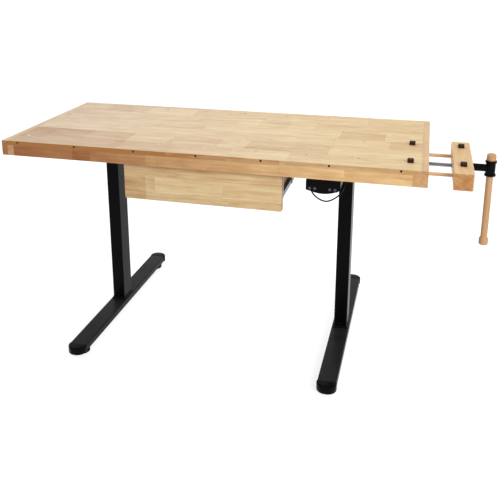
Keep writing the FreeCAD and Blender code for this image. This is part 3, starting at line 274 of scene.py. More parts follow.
# The plate welded under each column shows as a thin step on the foot.
PLATE_THICK = 0.006
PLATE_BORDER, PLATE_CORNER, PLATE_EDGE = 0.0015, 0.005, 0.0008
PLATE_GAP = 0.1 * MM
for side in ("left", "right"):
    low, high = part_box(f"{side}_outer_column")
    size = (high[0] - low[0] + PLATE_BORDER * 2, high[1] - low[1] + PLATE_BORDER * 2, PLATE_THICK)
    plate_z = low[2] + PLATE_GAP + PLATE_THICK / 2
    start_block(size, (middle(f"{side}_outer_column").x, 0.0, plate_z))
    pick("edges", upright_edge)
    bpy.ops.mesh.bevel(offset=PLATE_CORNER, segments=5, affect="EDGES")
    pick("edges", lambda place, points: place.z > PLATE_THICK / 2 - NEAR)
    bpy.ops.mesh.bevel(offset=PLATE_EDGE, segments=2, affect="EDGES")
    plate = end_editing(smooth_angle=35)
    put_away(plate, f"{side}_column_base_plate", powder_coat, "base", "black_powder_coat")

# Bronze, cast and machined: brown gold, with turning marks.
bronze, tree, shader = new_finish("machined_bronze", Metallic=1.0)
where = add(tree, "ShaderNodeTexCoord").outputs["Object"]
turning = add(tree, "ShaderNodeTexNoise", {"Vector": where, "Scale": 1 / (1.0 * MM), "Detail": 2.0})
tarnish = add(tree, "ShaderNodeTexNoise", {"Vector": where, "Scale": 1 / (12 * MM), "Detail": 3.0})
vary(tree, shader, tarnish.outputs[0], ("#8a6a35", "#b08d4f"), (0.3, 0.5),
     relief=turning.outputs[0], strength=0.3, height=0.1 * MM)
dress(bronze, "spindle_nuts")


# The frame under the top

# A crossbeam joins the two motor housings and a folded steel bracket lies across each, with screws
# up into the top. The control box hangs beside the right housing.

dress(powder_coat, "side_brackets", "crossbeam")
dress(black_screws, "bracket_screws")
dress(moulded_black, "control_box", "cable_gland", "cable_clip")


# The worktop

# A panel of beech staves glued side by side lies on a deep front rail, a back rail and two cross
# rails, with a cap glued over each end. All is sanded flush, eased at the edges and oiled.

def stave_grid(tree, length, width, stave, joint, seed):
    """Cuts wood into rows of staves, and each row into lengths that differ from row to row. Gives
    the place across the rows and along them, both counted in staves, and each stave's chances."""
    across = add(tree, "ShaderNodeMath", {0: width, 1: joint}, operation="SUBTRACT").outputs[0]
    across = add(tree, "ShaderNodeMath", {0: across, 1: stave[0]}, operation="DIVIDE").outputs[0]
    row = add(tree, "ShaderNodeMath", {0: across}, operation="FLOOR").outputs[0]
    row_seed = add(tree, "ShaderNodeMath", {0: row, 1: seed}, operation="ADD").outputs[0]
    row_chance = add(tree, "ShaderNodeTexWhiteNoise", {"W": row_seed},
                     noise_dimensions="1D").outputs["Value"]

    # A row starts up to nine staves further on, and a wave makes its staves longer and shorter.
    farthest_start, wave_step, wave_height = 9.0, 2.6, 0.3
    run = add(tree, "ShaderNodeMath", {0: length, 1: stave[1]}, operation="DIVIDE").outputs[0]
    run = add(tree, "ShaderNodeMath", {0: row_chance, 1: farthest_start, 2: run},
              operation="MULTIPLY_ADD").outputs[0]
    swing = add(tree, "ShaderNodeMath", {0: run, 1: wave_step}, operation="MULTIPLY").outputs[0]
    swing = add(tree, "ShaderNodeMath", {0: swing}, operation="SINE").outputs[0]
    run = add(tree, "ShaderNodeMath", {0: swing, 1: wave_height, 2: run},
              operation="MULTIPLY_ADD").outputs[0]
    turn = add(tree, "ShaderNodeMath", {0: run}, operation="FLOOR").outputs[0]
    which = add(tree, "ShaderNodeCombineXYZ", {0: row, 1: turn, 2: seed}).outputs[0]
    chance = add(tree, "ShaderNodeTexWhiteNoise", {"Vector": which}, noise_dimensions="3D").outputs
    return across, run, chance


def glue_lines(tree, across, run, stave):
    """The lines between staves: 0.4 mm in the real one, drawn wider so that they show at all."""
    full_to, gone_at = 0.3, 1.1
    seam = None
    for part, size in ((across, stave[0]), (run, stave[1])):
        place = add(tree, "ShaderNodeMath", {0: part}, operation="FRACT").outputs[0]
        other = add(tree, "ShaderNodeMath", {0: 1.0, 1: place}, operation="SUBTRACT").outputs[0]
        near = add(tree, "ShaderNodeMath", {0: place, 1: other}, operation="MINIMUM").outputs[0]
        line = add(tree, "ShaderNodeMapRange", {"Value": near, "From Min": full_to / size,
                                                "From Max": gone_at / size,
                                                "To Min": 1.0, "To Max": 0.0}).outputs[0]
        seam = line if seam is None else add(tree, "ShaderNodeMath", {0: seam, 1: line},
                                             operation="MAXIMUM").outputs[0]
    return seam


def beech_figure(tree, length, width, depth, chance):
    """The wood's own patterns, each stave cut from another place in the log: streaks, clouds, fibres
    and pores, each by its length and width in mm, and growth rings round a far pith."""
    places_apart, ring_width, ring_stretch = 700.0, 14.0, 0.12
    own = add(tree, "ShaderNodeCombineXYZ", {0: length, 1: width, 2: depth}).outputs[0]
    jump = add(tree, "ShaderNodeVectorMath", {0: chance["Color"], "Scale": places_apart},
               operation="SCALE").outputs[0]
    own = add(tree, "ShaderNodeVectorMath", {0: own, 1: jump}, operation="ADD").outputs[0]
    patterns = []
    for long, wide, detail, roughness, distortion in (
            (260, 19, 5.0, 0.6, 1.1), (110, 42, 2.0, 0.5, 0.8), (60, 2.4, 3.0, 0.5, 0.0),
            (9, 1.3, 1.0, 0.5, 0.0)):
        drawn_out = add(tree, "ShaderNodeMapping", {"Vector": own,
                                                    "Scale": (1 / long, 1 / wide, 1 / wide)})
        patterns.append(add(tree, "ShaderNodeTexNoise", {
            "Vector": drawn_out.outputs[0], "Scale": 1.0, "Detail": detail, "Roughness": roughness,
            "Distortion": distortion}).outputs[0])
    streak, cloud, fibre, pore = patterns
    pore = add(tree, "ShaderNodeMapRange", {"Value": pore, "From Min": 0.62,
                                            "From Max": 0.72}).outputs[0]

    # A wave texture of scale tau / 20 repeats once a unit, here once a ring.
    pith = add(tree, "ShaderNodeVectorMath", {0: own, 1: (ring_stretch, 1.0, 1.0)},
               operation="MULTIPLY").outputs[0]
    rings = add(tree, "ShaderNodeTexWave", {
        "Vector": pith, "Scale": math.tau / 20 / ring_width, "Distortion": 7.0, "Detail": 2.0,
        "Detail Scale": 0.6}, wave_type="RINGS", rings_direction="X").outputs["Fac"]
    return streak, cloud, fibre, pore, rings


def oiled_beech(name, along, across, stave, joint, tints, stave_tones_and_painted_shade=(), seed=0.0, contrast=1.0,
                end_grain=0.5):
    """Beech staves glued side by side, sanded and oiled: pale, satin, with faint brown streaks.
    along and across are the axes (0, 1, 2) of the grain and of the row of staves. stave is the
    width and usual length of a stave and joint the place of one glue line, in mm. tints are the
    wood's colours at the left and right end of the bench. The list after tints gives staves that
    stand out, and strips of painted shade where a face gets less light: (start, end, low side,
    high side, how much darker). Sawn ends drink more oil, so they are darker by end_grain."""
    wood, tree, shader = new_finish(name, IOR=1.5, Specular_IOR_Level=0.35)
    coordinates = add(tree, "ShaderNodeTexCoord").outputs
    in_mm = add(tree, "ShaderNodeVectorMath", {0: coordinates["Object"], "Scale": 1 / MM},
                operation="SCALE")
    axes = add(tree, "ShaderNodeSeparateXYZ", {0: in_mm.outputs[0]}).outputs
    length, width, depth = axes[along], axes[across], axes[3 - along - across]
    across_rows, run, chance = stave_grid(tree, length, width, stave, joint, seed)
    streak, cloud, fibre, pore, rings = beech_figure(tree, length, width, depth, chance)
    seam = glue_lines(tree, across_rows, run, stave)

    # How dark the wood is here: a quarter, and what each pattern adds or takes.
    dark = 0.25
    for part, share in ((chance["Value"], 0.28 * contrast), (streak, 1.15 * contrast),
                        (cloud, 0.7 * contrast), (fibre, 0.17), (rings, 0.08)):
        part = add(tree, "ShaderNodeMath", {0: part, 1: 0.5}, operation="SUBTRACT").outputs[0]
        dark = add(tree, "ShaderNodeMath", {0: part, 1: share, 2: dark},
                   operation="MULTIPLY_ADD").outputs[0]
    facing = add(tree, "ShaderNodeSeparateXYZ", {0: coordinates["Normal"]}).outputs[along]
    facing = add(tree, "ShaderNodeMath", {0: facing}, operation="ABSOLUTE").outputs[0]
    sawn_end = add(tree, "ShaderNodeMapRange", {"Value": facing, "From Min": 0.6,
                                                "From Max": 0.9}).outputs[0]
    for part, share in ((pore, 0.22), (seam, 0.13), (sawn_end, end_grain)):
        dark = add(tree, "ShaderNodeMath", {0: part, 1: share, 2: dark},
                   operation="MULTIPLY_ADD").outputs[0]
    for start, end, low, high, darker in stave_tones_and_painted_shade:
        inside = darker
        for part, first, last in ((length, start, end), (width, low, high)):
            between = add(tree, "ShaderNodeMath", {0: part, 1: (first + last) / 2,
                                                   2: (last - first) / 2},
                          operation="COMPARE").outputs[0]
            inside = add(tree, "ShaderNodeMath", {0: between, 1: inside},
                         operation="MULTIPLY").outputs[0]
        dark = add(tree, "ShaderNodeMath", {0: dark, 1: inside}, operation="ADD").outputs[0]

    left_tint_until, right_tint_from = -800.0, 500.0
    rightward = add(tree, "ShaderNodeMapRange", {"Value": axes[0], "From Min": left_tint_until,
                                                 "From Max": right_tint_from}).outputs[0]
    tint = add(tree, "ShaderNodeMix", {0: rightward, 6: linear(tints[0]), 7: linear(tints[1])},
               data_type="RGBA").outputs[2]
    shade = add(tree, "ShaderNodeMix", {0: dark, 6: tint, 7: linear("#b98a5c")}, data_type="RGBA",
                blend_type="MULTIPLY").outputs[2]
    tree.links.new(shade, shader.inputs["Base Color"])
    rough = add(tree, "ShaderNodeMapRange", {"Value": fibre, "To Min": 0.4, "To Max": 0.58})
    tree.links.new(rough.outputs[0], shader.inputs["Roughness"])
    relief = add(tree, "ShaderNodeMath", {0: fibre, 1: seam}, operation="SUBTRACT").outputs[0]
    relief = add(tree, "ShaderNodeMath", {0: relief, 1: pore}, operation="SUBTRACT").outputs[0]
    sanded = add(tree, "ShaderNodeBump", {"Strength": 0.35, "Distance": 0.2 * MM, "Height": relief})
    tree.links.new(sanded.outputs[0], shader.inputs["Normal"])
    return wood


# The panel: seven rows of wide staves, pinkish at the left end of the bench and yellower at the
# right. The last three entries are painted shade on its front edge, darkest at the left.
panel_wood = oiled_beech(
    "oiled_beech_panel", 0, 1, (108.5, 330.0), -345.0, ("#e8d4b6", "#f6dda9"), seed=3.0,
    contrast=0.68, end_grain=0.1,
    stave_tones_and_painted_shade=((22, 312, -236, -128, 0.2), (-268, -78, -236, -128, 0.13),
                  (-838, -588, -236, -128, 0.13), (-458, -223, -345, -236, 0.08),
                  (507, 620, -128, -20, 0.16), (322, 487, -20, 89, 0.24),
                  (-8, 112, 89, 197, 0.13), (-708, -588, 197, 305, 0.08),
                  (-838, -420, -345, -128, 0.22), (-858, -230, -346, -344.6, 0.62),
                  (-230, 170, -346, -344.6, 0.4), (170, 642, -346, -344.6, 0.2)))
dress(panel_wood, "top_panel")
rail_wood = oiled_beech(
    "oiled_beech_rails", 0, 1, (130.0, 420.0), -345.0, ("#ac7040", "#ffdca2"), seed=11.0,
    contrast=0.85, stave_tones_and_painted_shade=((-811, -578, -345, -215, -0.1), (-578, -300, -345, -215, 0.2)))
dress(rail_wood, "front_rail", "back_rail")
cross_wood = oiled_beech(
    "oiled_beech_across", 1, 0, (130.0, 500.0), -840.0, ("#dfb78c", "#e2b981"), seed=5.0,
    contrast=0.6, end_grain=0.1)
dress(cross_wood, "cross_rails", "bearers", "vise_guide_block")
for side, tint, end_grain in (("left", "#e2c7a4", 0.75), ("right", "#eac694", 0.3)):
    cap_wood = oiled_beech(f"oiled_beech_{side}_end_cap", 1, 2, (80.0, 700.0), 740.0, (tint, tint),
                           seed=8.0, contrast=0.6, end_grain=end_grain)
    dress(cap_wood, f"{side}_end_cap")


def turn_on_lathe(outline, facets=40, hollow=False):
    """Turns a piece upright on the Z axis: a disc, or a ring if it is hollow, is extruded and
    resized step by step along outline, which gives (radius, height) in mm."""
    steps = [(radius * MM, height * MM) for radius, height in outline]
    bpy.ops.object.select_all(action="DESELECT")
    bpy.ops.mesh.primitive_circle_add(vertices=facets, radius=steps[0][0],
                                      location=(0.0, 0.0, steps[0][1]),
                                      fill_type="NOTHING" if hollow else "NGON")
    bpy.ops.object.transform_apply(location=True, rotation=True, scale=True)
    bpy.ops.object.mode_set(mode="EDIT")
    bpy.ops.mesh.select_all(action="SELECT")
    for (radius, height), (next_radius, next_height) in zip(steps, steps[1:]):
        rise, growth = next_height - height, next_radius / radius
        bpy.ops.mesh.extrude_region_move(TRANSFORM_OT_translate={"value": (0.0, 0.0, rise)})
        bpy.ops.transform.resize(value=(growth, growth, 1.0), center_override=(0.0, 0.0, next_height))
    if hollow:
        bpy.ops.mesh.select_all(action="DESELECT")
        bpy.ops.mesh.select_mode(type="EDGE")
        bpy.ops.mesh.select_non_manifold()
        bpy.ops.mesh.bridge_edge_loops()
    bpy.ops.mesh.select_all(action="SELECT")
    bpy.ops.mesh.normals_make_consistent(inside=False)
    return end_editing(smooth_angle=32)


# Each open dog hole is eased with a countersink. Its wall and rim are painted near white: painted
# light inside the hole, where shade would fall.
hole_wall_painted_light = oiled_beech("beech_hole_rims_painted_light", 0, 1, (400.0, 900.0), -500.0,
                        ("#fff6e6", "#fff6de"), seed=15.0, contrast=0.15, end_grain=0.0)
FIRST_HOLE_INSET, BACK_ROW_INSET = 0.058, 0.052
PITCHES_TO_THE_DOG = 8
left_end, right_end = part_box("left_end_cap")[0][0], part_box("right_end_cap")[1][0]
top_front, top_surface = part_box("front_rail")[0][1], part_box("top_panel")[1][2]
front_row, second_row = middle("bench_dog_front").y, middle("bench_dog_rear").y
back_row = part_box("top_panel")[1][1] - BACK_ROW_INSET
first_hole = left_end + FIRST_HOLE_INSET
hole_pitch = (middle("bench_dog_front").x - first_hole) / PITCHES_TO_THE_DOG

# The front row has eight open holes, the second row one by its dog, and the back row seven.
open_holes = [((first_hole + hole_pitch * step, row, top_surface), (0.0, 0.0, 0.0))
              for row, steps in ((front_row, range(8)), (second_row, (7,)), (back_row, range(7)))
              for step in steps]
rim = turn_on_lathe(((9.95, -15.0), (9.8, -14.8), (9.8, -1.1), (11.0, 0.2), (11.3, 0.2),
                     (11.5, -0.05)), hollow=True)
put_away(joined_copies(rim, open_holes), "dog_hole_rims", hole_wall_painted_light, "lift", "pale_beech")

# The small peg holes in the front edge are dark inside: their walls are painted shade, a dark
# brown lining where the hole's own shade falls.
peg_hole_painted_shade, tree, shader = new_finish("beech_painted_shade", IOR=1.5, Specular_IOR_Level=0.1)
where = add(tree, "ShaderNodeTexCoord").outputs["Object"]
shade_mottle = add(tree, "ShaderNodeTexNoise", {"Vector": where, "Scale": 1 / (3 * MM), "Detail": 3.0})
vary(tree, shader, shade_mottle.outputs[0], ("#4e3820", "#80603a"), (0.8, 0.8),
     relief=shade_mottle.outputs[0], strength=0.4, height=0.2 * MM)
PEG_HOLES = 7
FIRST_PEG_INSET, LAST_PEG_INSET, PEG_DROP = 0.0635, 0.0835, 0.006
PEG_HOLE_DEPTH = 0.0239
upright = (math.pi / 2, 0.0, 0.0)
first_peg = left_end + FIRST_PEG_INSET
peg_pitch = (right_end - LAST_PEG_INSET - first_peg) / (PEG_HOLES - 1)
peg_holes = [((first_peg + peg_pitch * step, top_front + PEG_HOLE_DEPTH, top_surface - PEG_DROP),
              upright) for step in range(PEG_HOLES)]
lining = turn_on_lathe(((3.95, 0.0), (3.95, 23.7), (3.5, 23.9), (3.5, 0.8)), facets=24)
put_away(joined_copies(lining, peg_holes), "peg_hole_walls", peg_hole_painted_shade, "lift", "pale_beech")


# The drawer

# A glued-up front stands before a plain box of sawn boards. Zinc-plated slides under the sides run
# in channels that hang from the top on folded hangers.

def eased_copy(node, width):
    """A copy of a CAD node's mesh with its triangles joined into faces and its sharp edges rounded."""
    copy = bpy.data.objects.new(node + "_eased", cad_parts[node].data.copy())
    bpy.context.scene.collection.objects.link(copy)
    bpy.ops.object.select_all(action="DESELECT")
    copy.select_set(True)
    bpy.context.view_layer.objects.active = copy
    if copy.data.has_custom_normals:
        bpy.ops.mesh.customdata_custom_splitnormals_clear()
    bpy.ops.object.mode_set(mode="EDIT")
    bpy.ops.mesh.select_all(action="SELECT")
    bpy.ops.mesh.remove_doubles(threshold=MERGE_WITHIN)
    bpy.ops.mesh.dissolve_limited(angle_limit=math.radians(0.5))
    bpy.ops.object.mode_set(mode="OBJECT")
    bevel = copy.modifiers.new("eased_edges", "BEVEL")
    bevel.width = width
    bevel.segments = 3
    bevel.limit_method = "ANGLE"
    bevel.angle_limit = math.radians(40)
    bpy.ops.object.modifier_apply(modifier=bevel.name)
    bpy.ops.object.shade_smooth_by_angle(angle=math.radians(40))
    return copy


drawer_front_wood = oiled_beech(
    "lacquered_beech_drawer_front", 0, 2, (60.0, 420.0), 641.0, ("#ead0a0", "#ecd3a2"), seed=21.0,
    contrast=0.85, stave_tones_and_painted_shade=((-392, -312, 613, 701, 0.22), (-392, -227, 613, 641, 0.1),
                                 (-392, 176, 701, 743, 0.1)))
put_away(eased_copy("drawer_front", width=0.0018), "drawer_front_eased", drawer_front_wood, "drawer",
         "drawer_wood", "drawer_front")
drawer_board_wood = oiled_beech(
    "sawn_beech_drawer_boards", 1, 2, (120.0, 600.0), 600.0, ("#c49c78", "#c49c78"), seed=31.0)
dress(drawer_board_wood, "drawer_sides")
drawer_back_wood = oiled_beech(
    "sawn_beech_drawer_back", 0, 2, (120.0, 600.0), 600.0, ("#d2ad86", "#d2ad86"), seed=33.0)
dress(drawer_back_wood, "drawer_back", "drawer_bottom")

# Sheet steel, folded and zinc plated: blue grey, with faint blotches from the bath.
zinc, tree, shader = new_finish("zinc_plated_sheet_steel", Metallic=1.0)
where = add(tree, "ShaderNodeTexCoord").outputs["Object"]
blotch = add(tree, "ShaderNodeTexNoise", {"Vector": where, "Scale": 1 / (30 * MM), "Detail": 4.0})
colour = add(tree, "ShaderNodeMix", {0: blotch.outputs[0], 6: linear("#5b6067"), 7: linear("#7d8188")},
             data_type="RGBA")
tree.links.new(colour.outputs[2], shader.inputs["Base Color"])
spangle = add(tree, "ShaderNodeTexVoronoi", {"Vector": where, "Scale": 1 / (6 * MM)})
sheen = add(tree, "ShaderNodeSeparateColor", {0: spangle.outputs["Color"]}).outputs[0]
rough = add(tree, "ShaderNodeMapRange", {"Value": sheen, "To Min": 0.3, "To Max": 0.42})
tree.links.new(rough.outputs[0], shader.inputs["Roughness"])
rolled = add(tree, "ShaderNodeBump", {"Strength": 0.15, "Distance": 0.1 * MM,
                                      "Height": blotch.outputs[0]})
tree.links.new(rolled.outputs[0], shader.inputs["Normal"])
dress(zinc, "drawer_slides", "drawer_channels", "drawer_hangers")


# The handset and its cable

# The handset is a moulded shell screwed under the front rail, with four buttons. Its cable leaves
# low at the left, hangs in a loop, and goes back under the top through a clip to the control box.

put_away(eased_copy("handset", width=0.0014), "handset_shell", moulded_black, "lift",
         "black_plastic", "handset")

# ABS, moulded in a polished tool: blue black, and glossier than the shell.
button_plastic, tree, shader = new_finish("moulded_abs_buttons", IOR=1.54)
where = add(tree, "ShaderNodeTexCoord").outputs["Object"]
mottle = add(tree, "ShaderNodeTexNoise", {"Vector": where, "Scale": 1 / (4 * MM), "Detail": 2.0})
vary(tree, shader, mottle.outputs[0], ("#15151b", "#202028"), (0.25, 0.35),
     relief=mottle.outputs[0], strength=0.1, height=0.1 * MM)

# Pale ink, pad printed on the buttons: matt and a little uneven.
button_ink, tree, shader = new_finish("pad_printed_pale_ink", IOR=1.5)
where = add(tree, "ShaderNodeTexCoord").outputs["Object"]
cover = add(tree, "ShaderNodeTexNoise", {"Vector": where, "Scale": 1 / (1.2 * MM), "Detail": 2.0})
vary(tree, shader, cover.outputs[0], ("#585f74", "#767d92"), (0.5, 0.7))

# Each button is a cap in a raised bezel, with its sign printed on it.
INK_THICK = 0.2 * MM
ARROW_RADIUS, ARROW_FLATNESS = 0.0029, 0.8
NUMBER_SIZE = 0.0075
handset_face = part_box("handset")[0][1]
for button, sign in (("button_up", "up"), ("button_down", "down"), ("button_memory_one", "1"),
                     ("button_memory_two", "2")):
    button_face, button_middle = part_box(button)[0][1], middle(button)
    put_away(eased_copy(button, width=0.0006), f"{button}_cap", button_plastic, button,
             "button_plastic", button)
    bezel = turn_on_lathe(((5.8, 0.0), (5.8, 0.9), (6.1, 1.1), (6.6, 1.1), (7.0, 0.7), (7.0, 0.0)),
                          hollow=True)
    bezel.location = (button_middle.x, handset_face, button_middle.z)
    bezel.rotation_euler = upright
    put_away(bezel, f"{button}_bezel", moulded_black, "lift", "black_plastic")
    bpy.ops.object.select_all(action="DESELECT")
    if sign in ("1", "2"):
        bpy.ops.object.text_add()
        lettering = bpy.context.object.data
        lettering.body = sign
        lettering.size = NUMBER_SIZE
        lettering.extrude = INK_THICK / 2
        lettering.align_x = lettering.align_y = "CENTER"
        bpy.ops.object.convert(target="MESH")
    else:
        tip = ARROW_FLATNESS if sign == "up" else -ARROW_FLATNESS
        bpy.ops.mesh.primitive_circle_add(vertices=3, radius=ARROW_RADIUS, fill_type="NGON")
        bpy.ops.object.mode_set(mode="EDIT")
        bpy.ops.mesh.extrude_region_move(TRANSFORM_OT_translate={"value": (0.0, 0.0, INK_THICK)})
        bpy.ops.mesh.select_all(action="SELECT")
        bpy.ops.transform.resize(value=(1.0, tip, 1.0), center_override=(0.0, 0.0, 0.0))
        bpy.ops.mesh.normals_make_consistent(inside=False)
        bpy.ops.object.mode_set(mode="OBJECT")
    mark = bpy.context.object
    mark.location = (button_middle.x, button_face, button_middle.z)
    mark.rotation_euler = upright
    put_away(mark, f"{button}_mark", button_ink, button, "button_plastic")

# PVC jacket, extruded over the cores: black and satin, with a slight wave along it.
cable_jacket, tree, shader = new_finish("extruded_pvc_jacket", IOR=1.53, Specular_IOR_Level=0.12)
where = add(tree, "ShaderNodeTexCoord").outputs["Object"]
drawn = add(tree, "ShaderNodeTexNoise", {"Vector": where, "Scale": 1 / (1.5 * MM), "Detail": 2.0})
vary(tree, shader, drawn.outputs[0], ("#060607", "#0e0e0f"), (0.35, 0.5),
     relief=drawn.outputs[0], strength=0.2, height=0.1 * MM)

CABLE_DIAMETER = 0.005
CABLE_ROUTE = ((0.2695, -0.308, 0.6974), (0.2757, -0.308, 0.6867), (0.2843, -0.308, 0.6755),
               (0.307, -0.308, 0.6605), (0.333, -0.308, 0.6595), (0.3695, -0.306, 0.6865),
               (0.3805, -0.292, 0.717), (0.382, -0.268, 0.736), (0.380, -0.244, 0.733),
               (0.378, -0.225, 0.725), (0.378, -0.207, 0.725))
cable_curve = bpy.data.curves.new("handset_cable_run", "CURVE")
cable_curve.dimensions = "3D"
cable_curve.bevel_depth = CABLE_DIAMETER / 2
cable_curve.bevel_resolution = 4
cable_curve.resolution_u = 16
cable_curve.use_fill_caps = True
spline = cable_curve.splines.new("NURBS")
spline.points.add(len(CABLE_ROUTE) - 1)
for point, place in zip(spline.points, CABLE_ROUTE):
    point.co = (*place, 1.0)
spline.order_u = 3
spline.use_endpoint_u = True
cable = bpy.data.objects.new("handset_cable_run", cable_curve)
bpy.context.scene.collection.objects.link(cable)
cable_curve.materials.append(cable_jacket)
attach(cable, "lift")
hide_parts("handset_cable")

# Moulded strain reliefs, tapered and grooved so that they bend with the cable.
RELIEF_ROOT, RELIEF_AIM = (0.2645, -0.308, 0.706), (0.5, 0.0, -0.866)
GLAND_SINK = 0.2 * MM
handset_relief = turn_on_lathe((
    (4.6, 0.0), (4.5, 5.0), (4.0, 5.6), (4.2, 6.6), (4.2, 8.0), (3.6, 8.6), (3.8, 9.6), (3.8, 11.0),
    (3.3, 11.6), (3.5, 12.6), (3.4, 14.6), (3.0, 15.4)))
handset_relief.location = RELIEF_ROOT
handset_relief.rotation_euler = Vector(RELIEF_AIM).to_track_quat("Z", "Y").to_euler()
put_away(handset_relief, "handset_strain_relief", moulded_black, "lift", "black_plastic")
gland_relief = turn_on_lathe((
    (4.4, 0.0), (4.2, 3.0), (3.7, 3.5), (3.8, 4.5), (3.7, 5.5), (3.3, 6.0), (3.4, 7.0), (3.0, 8.5)))
gland_relief.location = Vector(CABLE_ROUTE[-1]) + Vector((0.0, GLAND_SINK, 0.0))
gland_relief.rotation_euler = upright
put_away(gland_relief, "box_strain_relief", moulded_black, "lift", "black_plastic")


# The end vise

# A beech jaw slides on two turned rods and is drawn in by a steel screw. A cast hub on the screw's
# end carries a sleeve that the turned handle slides through.

jaw_wood = oiled_beech("oiled_beech_jaw", 1, 2, (90.0, 700.0), 720.0, ("#efc890", "#f0ca92"),
                       seed=41.0, contrast=0.6, end_grain=0.55)
dress(jaw_wood, "vise_jaw")
rod_wood = oiled_beech("turned_beech_rods", 0, 1, (400.0, 900.0), -500.0, ("#efc598", "#f6d0a4"),
                       seed=43.0, contrast=0.5)
dress(rod_wood, "vise_guide_rods")
handle_wood = oiled_beech("turned_beech_handle", 2, 1, (400.0, 900.0), -500.0,
                          ("#dfb688", "#dfb688"), seed=47.0, contrast=0.5, end_grain=0.08)
handle = turn_on_lathe((
    (11.5, 0.0), (13.8, 0.8), (15.0, 3.0), (15.2, 7.5), (15.3, 14.5), (15.0, 21.0), (13.9, 24.1),
    (12.0, 25.7), (11.0, 27.1), (11.1, 104.5), (11.1, 224.5), (11.0, 294.0), (11.4, 296.3),
    (13.9, 297.1), (14.9, 299.0), (15.1, 304.5), (15.0, 311.5), (14.2, 316.0), (11.8, 318.8),
    (8.0, 319.9)), facets=48)
knob = middle("handle_knob")
handle.location = (knob.x, knob.y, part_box("vise_handle")[0][2])
put_away(handle, "turned_handle", handle_wood, "handle", "turned_beech", "vise_handle",
         "handle_knob")
dress(turned_steel, "vise_collar", "vise_nut_plate")

# The screw: steel bar with a rolled square-cornered thread as far as the jaw and a plain end that
# turns in the collar. One turn of thread is drawn as a line and wound along the bar.
THREAD_PITCH, THREAD_ROOT, THREAD_CREST = 0.004, 0.0054, 0.007
JOINT_OVERLAP = 0.1 * MM
screw_start, screw_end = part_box("vise_screw")[0][0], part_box("vise_screw")[1][0]
thread_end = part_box("vise_jaw")[0][0] - THREAD_PITCH
axis = middle("vise_screw")
bpy.ops.object.select_all(action="DESELECT")
bpy.ops.mesh.primitive_plane_add(size=THREAD_PITCH,
                                 location=(screw_start - THREAD_PITCH, axis.y, axis.z))
thread = bpy.context.object
bpy.ops.object.mode_set(mode="EDIT")
pick("verts", lambda place, points: place.y < 0)
bpy.ops.mesh.delete(type="VERT")
bpy.ops.mesh.select_all(action="SELECT")
bpy.ops.mesh.subdivide(number_cuts=3)
bpy.ops.mesh.select_all(action="SELECT")
bpy.ops.transform.translate(value=(0.0, THREAD_ROOT - THREAD_PITCH / 2, 0.0))

# The line has five points now. The middle one and the next one right rise to the thread's crest.
pick("verts", lambda place, points: abs(place.x - THREAD_PITCH / 8) < THREAD_PITCH / 4)
bpy.ops.transform.translate(value=(0.0, THREAD_CREST - THREAD_ROOT, 0.0))
bpy.ops.object.mode_set(mode="OBJECT")
winding = thread.modifiers.new("thread", "SCREW")
winding.axis = "X"
winding.screw_offset = THREAD_PITCH
winding.iterations = round((thread_end - screw_start) / THREAD_PITCH) + 3
winding.steps = winding.render_steps = 24
winding.use_merge_vertices = True
winding.merge_threshold = MERGE_WITHIN
bpy.ops.object.modifier_apply(modifier=winding.name)

# The winding is longer than the thread, so it is cut off at both ends and closed there.
bpy.ops.object.mode_set(mode="EDIT")
for place, keep_low in ((screw_start, False), (thread_end, True)):
    bpy.ops.mesh.select_all(action="SELECT")
    bpy.ops.mesh.bisect(plane_co=(place, 0.0, 0.0), plane_no=(1.0, 0.0, 0.0), use_fill=True,
                        clear_inner=not keep_low, clear_outer=keep_low)
bpy.ops.mesh.select_all(action="SELECT")
bpy.ops.mesh.remove_doubles(threshold=MERGE_WITHIN)
bpy.ops.mesh.normals_make_consistent(inside=False)
end_editing(smooth_angle=30)
plain_length = (screw_end - thread_end - JOINT_OVERLAP) / MM
plain_end = turn_on_lathe(((5.4, 0.0), (6.9, 1.5), (6.9, plain_length)))
plain_end.location = (thread_end - JOINT_OVERLAP, axis.y, axis.z)
plain_end.rotation_euler = (0.0, math.pi / 2, 0.0)
bpy.ops.object.select_all(action="DESELECT")
plain_end.select_set(True)
thread.select_set(True)
bpy.context.view_layer.objects.active = thread
bpy.ops.object.join()
put_away(thread, "threaded_vise_screw", turned_steel, "clamp_screw", "plain_steel", "vise_screw")

# Cast iron, painted black by dipping: the sand's roughness shows through a thin gloss.
painted_iron, tree, shader = new_finish("black_painted_cast_iron", IOR=1.5, Specular_IOR_Level=0.06)
where = add(tree, "ShaderNodeTexCoord").outputs["Object"]
sand = add(tree, "ShaderNodeTexNoise", {"Vector": where, "Scale": 1 / (1.6 * MM), "Detail": 4.0})
vary(tree, shader, sand.outputs[0], ("#030303", "#080808"), (0.12, 0.25),
     relief=sand.outputs[0], strength=0.5, height=0.3 * MM)
dress(painted_iron, "vise_hub")


# The bench dogs

# Moulded nylon dogs stand in the last holes of the top and in the jaw, and lift out by hand. Each
# has a square head with a sunk working face on a round shank with a groove round it.

# Nylon with glass fibre, injection moulded: brown black and satin, with the fibres' faint mottle.
dog_nylon, tree, shader = new_finish("moulded_brown_black_nylon", IOR=1.53, Specular_IOR_Level=0.05)
where = add(tree, "ShaderNodeTexCoord").outputs["Object"]
glass = add(tree, "ShaderNodeTexNoise", {"Vector": where, "Scale": 1 / (1.5 * MM), "Detail": 3.0})
vary(tree, shader, glass.outputs[0], ("#261b15", "#402e25"), (0.4, 0.6),
     relief=glass.outputs[0], strength=0.2, height=0.1 * MM)

